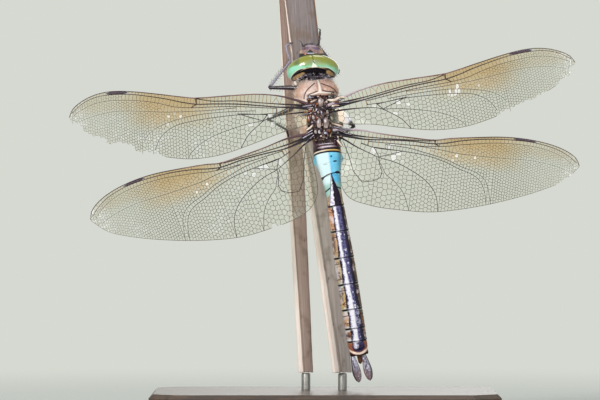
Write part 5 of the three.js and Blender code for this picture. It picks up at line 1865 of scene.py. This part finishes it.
spineTree = nodeTree("leg_spines", {
    "Spine": ("Object", None), "Gap": ("Float", 0.0006), "Length": ("Float", 1.0), "Girth": ("Float", 0.05),
    "Lean": ("Float", 0.6), "Seed": ("Int", 4), "Finish": ("Material", None)})
entry = grow(spineTree, "NodeGroupInput")
line = grow(spineTree, "GeometryNodeMeshToCurve", None, {"Mesh": entry.outputs["Geometry"]})
stations = grow(spineTree, "GeometryNodeCurveToPoints", {"mode": "LENGTH"},
    {"Curve": line.outputs[0], "Length": entry.outputs["Gap"]})
away = grow(spineTree, "GeometryNodeInputNamedAttribute", {"data_type": "FLOAT_VECTOR"}, {"Name": "away"})
lean = grow(spineTree, "ShaderNodeVectorMath", {"operation": "SCALE"}, {0: stations.outputs["Tangent"]})
spineTree.links.new(entry.outputs["Lean"], lean.inputs["Scale"])
aim = grow(spineTree, "ShaderNodeVectorMath", {"operation": "ADD"},
    {0: away.outputs["Attribute"], 1: lean.outputs[0]})
turned = grow(spineTree, "FunctionNodeAlignRotationToVector", {"axis": "Z"}, {"Vector": aim.outputs[0]})
source = grow(spineTree, "GeometryNodeObjectInfo", None, {"Object": entry.outputs["Spine"]})
vary = grow(spineTree, "FunctionNodeRandomValue", {"data_type": "FLOAT"},
    {2: 0.75, 3: 1.2, "Seed": entry.outputs["Seed"]})
long = grow(spineTree, "ShaderNodeMath", {"operation": "MULTIPLY"},
    {0: vary.outputs[1], 1: entry.outputs["Length"]})
size = grow(spineTree, "ShaderNodeCombineXYZ", None,
    {0: entry.outputs["Girth"], 1: entry.outputs["Girth"], 2: long.outputs[0]})
placed = grow(spineTree, "GeometryNodeInstanceOnPoints", None, {"Points": stations.outputs[0],
    "Instance": source.outputs["Geometry"], "Rotation": turned.outputs[0], "Scale": size.outputs[0]})
closeTree(spineTree, placed, entry)


def spineRow(name, lines, finish, gapMm, lengthMm, girthMm, leanShare):
    # lines: lists of (point, direction the spines stand away in)
    points, edges, aways = [], [], []
    for run in lines:
        for i, (p, d) in enumerate(run):
            if i:
                edges.append((len(points) - 1, len(points)))
            points.append(tuple(v * mm for v in p))
            aways.append(tuple(d))
    mesh = bpy.data.meshes.new(name)
    mesh.from_pydata(points, edges, [])
    keep(mesh, "away", aways)
    return applied(shown(name + "_lines", mesh), spineTree, {"Spine": oneSpine, "Gap": gapMm * mm,
        "Length": lengthMm, "Girth": girthMm, "Lean": leanShare, "Seed": 4, "Finish": finish}, name)


legFinish = Finish("leg")
here = legFinish.place()
fine = legFinish.noise(here, 2.6, 4)
streak = legFinish.noise(legFinish.place(stretch=(1, 1, 0.4)), 1.8, 3)
colour = fine.step(0.3, 0.75).blend((26, 18, 26), (62, 48, 66))
colour = streak.step(0.6, 0.75).blend(colour, (92, 60, 52))
pale = legFinish.layer("pale")
across, ahead, _ = legFinish.parts(here)
ahead = (-2.3 - ahead).step(-0.4, 0.5)
lilac = across.step(1.0, 2.4).blend((206, 200, 222), (255, 236, 224))
lilac = across.step(3.4, 5.0).blend(lilac, (228, 226, 248))
colour = (pale * (0.7 + fine * 0.6)).held().blend(colour, lilac)
# the pale parts also glow a little on the camera side, painted light where the thorax shades them from the
# lamps
legMaterial = legFinish.done(legFinish.shine(colour=colour, rough=0.32 + fine * 0.2, coat=0.4,
    coatRough=0.1, specular=0.3, glow=(pale * pale * ahead).held().blend((0, 0, 0), lilac),
    glowStrength=0.75, normal=legFinish.bump(fine + streak * 0.4, 0.03, 0.6)))


def limbPiece(name, line, radii, node, paleness=None, steps=legLook["steps"], extra=()):
    around = legLook["around"]
    body, faces = tube(limbRows(line, radii, around, steps))
    pale = ([paleness(i / steps) if paleness else 0.0 for i in range(steps + 1) for _ in range(around)]
        + [0, 0])
    parts = [(body, faces)]
    for more in extra:
        parts.append(more)
        pale += [0.0] * len(more[0])
    points, faces = joined(parts)
    return piece(name, points, faces, legMaterial, stands=node, sharp=60,
        layers={"pale": pale})


spineLines = []
for leg, (hip, knee, ankle, sole, claw) in legSet.items():
    hip, knee, ankle, sole, claw = map(Vector, (hip, knee, ankle, sole, claw))
    paleness = ((lambda t: ease(t, 0.06, 0.2) * (1 - ease(t, 0.78, 0.86))) if leg == "middle_right"
        else (lambda t: 0.5 * (1 - ease(t, 0.08, 0.2))))
    thigh = legLook["paleThigh" if leg == "middle_right" else "thigh"]
    limbPiece(f"thigh_{leg}", [hip, (hip + knee) / 2 + Vector((0, -0.08, 0.1)), knee], thigh,
        f"leg_{leg}_femur", paleness)
    # the front left shin is painted almost white along its upper side, a painted highlight
    highlight = (lambda t: 0.62 * ease(t, 0.02, 0.1)) if leg == "front_left" else None
    stouter = 1.3 if leg == "front_right" else 1
    shin = [[t, r * stouter] for t, r in legLook["shin"]]
    limbPiece(f"shin_{leg}", [knee, ankle], shin, f"leg_{leg}_tibia", highlight)
    # the foot ends in two hooked claws
    end = (claw - sole).normalized()
    inward = Vector((-1.0 if claw.x > -3 else 1.0, 0.9, 0)).normalized()
    hooks = []
    for s in (-1, 1):
        side = end.cross(inward).normalized() * s
        tip = claw + end * 0.1
        line = [tip - end * 0.25, tip + side * 0.16 + end * 0.12,
            tip + side * 0.26 + end * 0.3 + inward * 0.1, tip + side * 0.26 + end * 0.32 + inward * 0.42]
        hooks.append(tube(limbRows(line, legLook["claw"], 8, 14)))
    # the front left foot is painted pale all along, a painted highlight
    limbPiece(f"foot_{leg}", [ankle, sole, claw], legLook["foot"], f"leg_{leg}_tarsus",
        (lambda t: 0.55) if leg == "front_left" else None, legLook["footSteps"], hooks)
    for (a, b), (girth, turns, (start, stop)) in zip(((hip, knee), (knee, ankle)), legLook["spineRows"]):
        axis = (b - a).normalized()
        side = axis.cross(Vector((0, 1, 0))).normalized()
        inner = side.cross(axis).normalized()
        for turn in turns:
            d = (side * math.sin(turn) + inner * math.cos(turn)) * (1 if inner.y > 0 else -1)
            spineLines.append(
                [(a.lerp(b, start + (stop - start) * k / 6) + d * girth * 0.85, d) for k in range(7)])
spines = spineRow("leg_spines", spineLines, legMaterial, legLook["spineGap"], legLook["spineLength"],
    legLook["spineGirth"], legLook["spineLean"])
settle(spines)
print("legs made")


perch = {
    "foot": 9.0, "top": 85.2,
    "right": {"top": (-5.15, 3.2), "foot": (3.6, 3.4), "halfWidth": 3.05, "halfThick": 0.95,
        "turn": [[9, 56], [31, 40], [61, 14], [85.2, 4]]},
    "left": {"top": (-7.6, 5.9), "foot": (-3.8, 4.7), "halfWidth": 1.75, "halfThick": 0.85,
        "turn": [[9, 40], [31, 28], [61, 8], [85.2, 2]]},
    "ribs": 9, "ribDepth": 0.07, "around": 120, "rows": 260,
    "frayTop": 0.985, "frayFoot": 0.015, "fray": 0.35,     # the cut ends are uneven
}


def makeBlade(name):
    blade = perch[name]
    turn = profile(blade["turn"])
    rng = random.Random(7 if name == "right" else 8)
    frayed = [rng.uniform(-perch["fray"], 0.0) for _ in range(perch["around"])]
    topFrom, footTo = perch["frayTop"], perch["frayFoot"]
    footX, footY = blade["foot"]
    shiftX, shiftY = blade["top"][0] - footX, blade["top"][1] - footY
    rows, share = [], []
    for i in range(perch["rows"] + 1):
        up = i / perch["rows"]
        row = []
        for j, (px, pz) in enumerate(ringOf(perch["around"])):
            z = perch["foot"] + (perch["top"] - perch["foot"]) * up
            if up > topFrom:
                z += frayed[j] * (up - topFrom) / footTo
            if up < footTo:
                z -= frayed[(j * 7) % perch["around"]] * (footTo - up) / footTo
            t = (z - perch["foot"]) / (perch["top"] - perch["foot"])
            angle = -math.radians(turn(z))
            across = power(px, 0.6) * blade["halfWidth"]
            ribs = (perch["ribDepth"] * (0.5 + 0.5 * math.sin(across / blade["halfWidth"] * math.pi
                * perch["ribs"] + 0.8 * math.sin(z * 0.11))))
            wave = 0.05 * math.sin(z * 0.6 + across) + 0.04 * math.sin(z * 1.7 + 2 * across)
            out = (power(pz, 0.7) * (blade["halfThick"] * (1 - 0.25 * px * px) - ribs - 0.03) + wave * 0.5
                - 0.03)
            c, s = math.cos(angle), math.sin(angle)
            row.append(
                (footX + shiftX * t + across * c - out * s, footY + shiftY * t - across * s - out * c, z))
            share.append((px, pz, z))
        rows.append(row)
    body, faces = tube(rows)
    return body, faces, {"strip": share + [(0, 0, 0), (0, 0, 0)],
        "left": [float(name == "left")] * len(body)}


leafFinish = Finish("dead_leaf")
here = leafFinish.place()
px, pz, up = leafFinish.parts(leafFinish.layer("strip", "Vector"))
x, y, z = leafFinish.parts(here)
long = leafFinish.place(stretch=(1, 1, 0.04))
fibre = leafFinish.noise(long, 5.0, 4, 0.6)
coarse = leafFinish.noise(long, 1.4, 3)
stain = leafFinish.noise(here, 0.28, 3)
spots = leafFinish.noise(leafFinish.place(stretch=(1, 1, 0.5)), 1.1, 3)
isLeft = leafFinish.layer("left")
colour = coated(coarse.step(0.3, 0.7).blend((226, 214, 206), (200, 186, 178)),
    (fibre.step(0.4, 0.75), (212, 198, 190)),
    (up.step(58, 74) * 0.85, fibre.step(0.35, 0.7).blend((110, 98, 100), (138, 127, 129))),
    (isLeft * 0.6, (176, 144, 130)),
    (stain.step(0.5, 0.7) * 0.5, (126, 102, 82)),
    (spots.step(0.68, 0.74), (96, 66, 54)))
# the left flank catches the light as a cream band that widens downwards, with a shadow beside it
down = (84.0 - up) / 75.0
border = down * 0.42 - 0.93
colour = coated(colour,
    ((px - border - 0.14).size().step(0.2, 0.02) * 0.45, (104, 82, 66)),
    (px.step(0.8, 0.95) * (0.85 - isLeft * 0.6), (158, 104, 60)),
    ((px - border).step(0.03, -0.03), fibre.step(0.3, 0.7).blend((255, 244, 236), (246, 226, 212))))
leafMaterial = leafFinish.done(leafFinish.shine(colour=colour, rough=0.62 + fibre * 0.2, specular=0.3,
    normal=leafFinish.bump(fibre * 0.8 + coarse * 0.4, 0.1, 0.8)))
for name in ("right", "left"):
    points, faces, layers = makeBlade(name)
    piece("perch_leaf_" + name, points, faces, leafMaterial, stands="perch_blade_" + name,
        sharp=50, layers=layers)
print("perch made")


woodFinish = Finish("stand_wood")
here = woodFinish.place()
long = woodFinish.place(stretch=(0.12, 1, 1))
rings = woodFinish.noise(long, 0.7, 5, 0.6, 0.6)
pores = woodFinish.noise(woodFinish.place(stretch=(0.06, 1, 1)), 4.5, 3)
colour = rings.step(0.35, 0.65).blend((58, 42, 34), (84, 62, 48))
colour = pores.step(0.58, 0.72).blend(colour, (40, 28, 24))
woodMaterial = woodFinish.done(woodFinish.shine(colour=colour, rough=0.38 + pores * 0.2, coat=0.3,
    coatRough=0.25, normal=woodFinish.bump(pores * 0.5 + rings * 0.3, 0.06, 0.5)))
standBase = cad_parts["stand_base"]
for socket in standBase.material_slots:
    socket.material = woodMaterial
metalFinish = Finish("stand_rod")
brush = metalFinish.noise(metalFinish.place(stretch=(1, 1, 8)), 1.2, 3)
metalMaterial = metalFinish.done(metalFinish.shine(colour=brush.step(0.3, 0.7).blend((168, 166, 162),
    (146, 144, 142)), metal=1.0, rough=0.34 + brush * 0.12, normal=metalFinish.bump(brush, 0.01, 0.4)))
# each ring of a pin: the end it is measured from, the rise from there and its share of the radius
pinRings = [("low", -0.05, 1.0), ("low", 0.02, 1.0), ("high", -0.25, 1.0), ("high", -0.12, 0.97),
    ("high", -0.02, 0.86), ("high", 0.05, 0.8)]
for name in ("left", "right"):
    low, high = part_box("stand_rod_" + name)
    low, high = low / mm, high / mm
    cx, cy, r = (low.x + high.x) / 2, (low.y + high.y) / 2, (high.x - low.x) / 2
    rows = []
    for end, rise, share in pinRings:
        zAt, rAt = (low if end == "low" else high).z + rise, r * share
        rows.append([(cx + rAt * c, cy + rAt * s, zAt) for c, s in ringOf(48)])
    points, faces = tube(rows)
    piece("stand_pin_" + name, points, faces, metalMaterial, stands="stand_rod_" + name,
        sharp=40)
print("stand finished")


hairLook = {
    "blades": ((0.2, 0.16, 1.0), (2.3, 0.24, 0.82), (4.4, 0.3, 0.66)),   # turn, lean and height
    "girth": 0.026, "tip": 0.005,   # in tuft lengths
    "patch": 0.003,                 # width of a tuft on the map
    "sunk": 0.03, "stray": 0.25,    # how deep a root sits, and how far tufts turn aside
    "nape": (4.6, 3.2),             # half width and half height of the patch behind the eyes
    # shortest and longest tuft in millimetres, seed and number
    "thorax": ((0.45, 1.0), 21, 1300), "abdomen": ((0.14, 0.34), 22, 1500),
    "head": ((0.35, 0.7), 23, 260), "face": ((0.16, 0.32), 24, 420),
}

# one tuft along Z: thin blades from one root that lean apart
tuftBlades = []
for turn, lean, high in hairLook["blades"]:
    rows = []
    for share in (0.0, 0.4, 0.75, 1.0):
        out, r = lean * share * share, hairLook["girth"] * (1 - share) + hairLook["tip"]
        rows.append([(math.cos(turn) * out + math.cos(2.1 * j) * r,
            math.sin(turn) * out + math.sin(2.1 * j) * r, high * share) for j in range(3)])
    tuftBlades.append(tube(rows))
tuftPoints, tuftFaces = joined(tuftBlades)
tuftMesh = bpy.data.meshes.new("one_tuft")
tuftMesh.from_pydata((tuftPoints * mm).tolist(), [], [list(f) for f in tuftFaces])
keep(tuftMesh, "inTuft", [(0.5 + x, z, 0.0) for x, y, z in tuftPoints])
oneTuft = bpy.data.objects.new("one_tuft", tuftMesh)

hairTree = nodeTree("hair",
    {"Tuft": ("Object", None), "Patch": ("Float", 0.003), "Finish": ("Material", None)})
entry = grow(hairTree, "NodeGroupInput")
named = lambda kind, name: grow(hairTree, "GeometryNodeInputNamedAttribute", {"data_type": kind},
    {"Name": name}).outputs["Attribute"]
source = grow(hairTree, "GeometryNodeObjectInfo", None, {"Object": entry.outputs["Tuft"]})
asPoints = grow(hairTree, "GeometryNodeMeshToPoints", None, {"Mesh": entry.outputs["Geometry"]})
turned = grow(hairTree, "FunctionNodeAlignRotationToVector", {"axis": "Z"},
    {"Vector": named("FLOAT_VECTOR", "lie")})
placed = grow(hairTree, "GeometryNodeInstanceOnPoints", None, {"Points": asPoints.outputs[0],
    "Instance": source.outputs["Geometry"], "Rotation": turned.outputs[0], "Scale": named("FLOAT", "long")})
real = grow(hairTree, "GeometryNodeRealizeInstances", None, {"Geometry": placed.outputs[0]})
inPatch = grow(hairTree, "ShaderNodeVectorMath", {"operation": "SCALE"},
    {0: named("FLOAT_VECTOR", "inTuft")})
hairTree.links.new(entry.outputs["Patch"], inPatch.inputs["Scale"])
onSkin = grow(hairTree, "ShaderNodeVectorMath", {"operation": "ADD"},
    {0: named("FLOAT_VECTOR", "onSkin"), 1: inPatch.outputs[0]})
mapped = grow(hairTree, "GeometryNodeStoreNamedAttribute", {"data_type": "FLOAT2", "domain": "CORNER"},
    {"Geometry": real.outputs[0], "Name": "OFBake", "Value": onSkin.outputs[0]})
closeTree(hairTree, mapped, entry)

hairFinish = Finish("hair")
here = hairFinish.place()
fine = hairFinish.noise(here, 1.4, 3)
x, y, z = hairFinish.parts(here)
# grey-lilac by the neck, warm and pale on the thorax, dark on the tail
colour = coated(fine.step(0.3, 0.7).blend((252, 246, 242), (224, 204, 188)),
    ((z - 67.6).step(0.0, 1.2), fine.step(0.35, 0.65).blend((236, 230, 240), (156, 144, 162))),
    ((z - 71.5).step(0.0, 1.0), (84, 66, 64)),
    ((55.2 - z).step(0.0, 0.8), fine.step(0.35, 0.65).blend((66, 48, 46), (150, 118, 96))))
hairMaterial = hairFinish.done(hairFinish.shine(colour=colour, rough=0.5 + fine * 0.2, specular=0.3))


def strewn(seed, count, density):
    # seeded roots over a skin, kept by a density between 0 and 1
    rng = random.Random(seed)
    kept = []
    while len(kept) < count:
        u, v = rng.uniform(0.01, 0.99), rng.random()
        if rng.random() < density(u, v):
            kept.append((u, v, rng.random()))
    return kept


def hairs(part, skin, density, stand, lie):
    # skin gives a place from two shares and density how much grows there;
    # stand is the outward share of a tuft's lean, and lie its way along the body
    (short, long), seed, count = hairLook[part]
    name = part + "_hair"
    spots, ways, longs, maps = [], [], [], []
    for u, v, factor in strewn(seed, count, density):
        here, nextU, nextV = Vector(skin(u, v)), Vector(skin(u + 0.002, v)), Vector(skin(u, v + 0.002))
        along, aside = (nextU - here).normalized(), (nextV - here).normalized()
        out = aside.cross(along).normalized()
        if out.dot(here - Vector(skin(u, (v + 0.5) % 1))) < 0:
            out.negate()
        spots.append((here - out * hairLook["sunk"]) * mm)
        ways.append(out * stand + along * lie(u) + aside * (hairLook["stray"] * math.sin(97 * u + 61 * v)))
        longs.append(short + (long - short) * factor)
        maps.append((u, v, 0))
    mesh = bpy.data.meshes.new(name)
    mesh.from_pydata([tuple(p) for p in spots], [], [])
    for layer, values in (("lie", ways), ("onSkin", maps), ("long", longs)):
        keep(mesh, layer, values)
    made = applied(shown(name + "_roots", mesh), hairTree,
        {"Tuft": oneTuft, "Patch": hairLook["patch"], "Finish": hairMaterial}, name)
    return settle(made)


def thoraxFur(u, v):
    x, _, z = thoraxPoint(u * thoraxLength, 2 * math.pi * v)
    facing = math.sin(2 * math.pi * v)
    if facing > 0.3 and z < 65.2:
        return 0.0 if abs(x + 0.8) < 2.6 else 0.15
    front = ease(u, 0.1, 0.02)
    shoulder = ease(x, 1.8, 2.6) * ease(z, 64.8, 66) * 0.2
    under = ease(facing, 0.0, -0.6) * 0.4
    return min(1.0, 0.015 + front + shoulder + under)


def abdomenFur(u, v):
    return 1.0 if u < 0.05 else (0.35 if math.sin(2 * math.pi * v) < 0.1 else 0.08)


def skullSkin(u, v):
    radius, back = head["behind"]
    wide, high = hairLook["nape"]
    across, down = math.cos(2 * math.pi * v) * u * wide, math.sin(2 * math.pi * v) * u * high
    return inHead(across, down, -back - radius + math.sqrt(radius ** 2 - (u * wide) ** 2 * 0.98))


def faceSkin(u, v):
    down = head["faceTop"] + (head["faceChin"] - head["faceTop"]) * u
    across, ahead = math.cos(math.pi * v), math.sin(math.pi * v)
    return inHead(power(across, 0.75) * faceWidth(down), down, power(ahead, 0.75) * faceForward(down))


hairs("thorax", lambda u, v: thoraxPoint(u * thoraxLength, 2 * math.pi * v), thoraxFur,
    0.75, lambda u: -0.75 if u < 0.25 else 0.5)
hairs("abdomen", lambda u, v: abdomenPoint(u * joints[10], 2 * math.pi * v), abdomenFur,
    0.35, lambda u: 1.0)
hairs("head", skullSkin, lambda u, v: ease(u, 0.35, 0.8) * ease(u, 0.99, 0.9), 0.8, lambda u: 0.5)
hairs("face", faceSkin, lambda u, v: ease(v, 0.02, 0.1) * ease(v, 0.98, 0.9), 0.9, lambda u: 0.35)
print("hairs made")

sizes = [list(map(float, v)) for box in (cadBox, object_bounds()) for v in box]
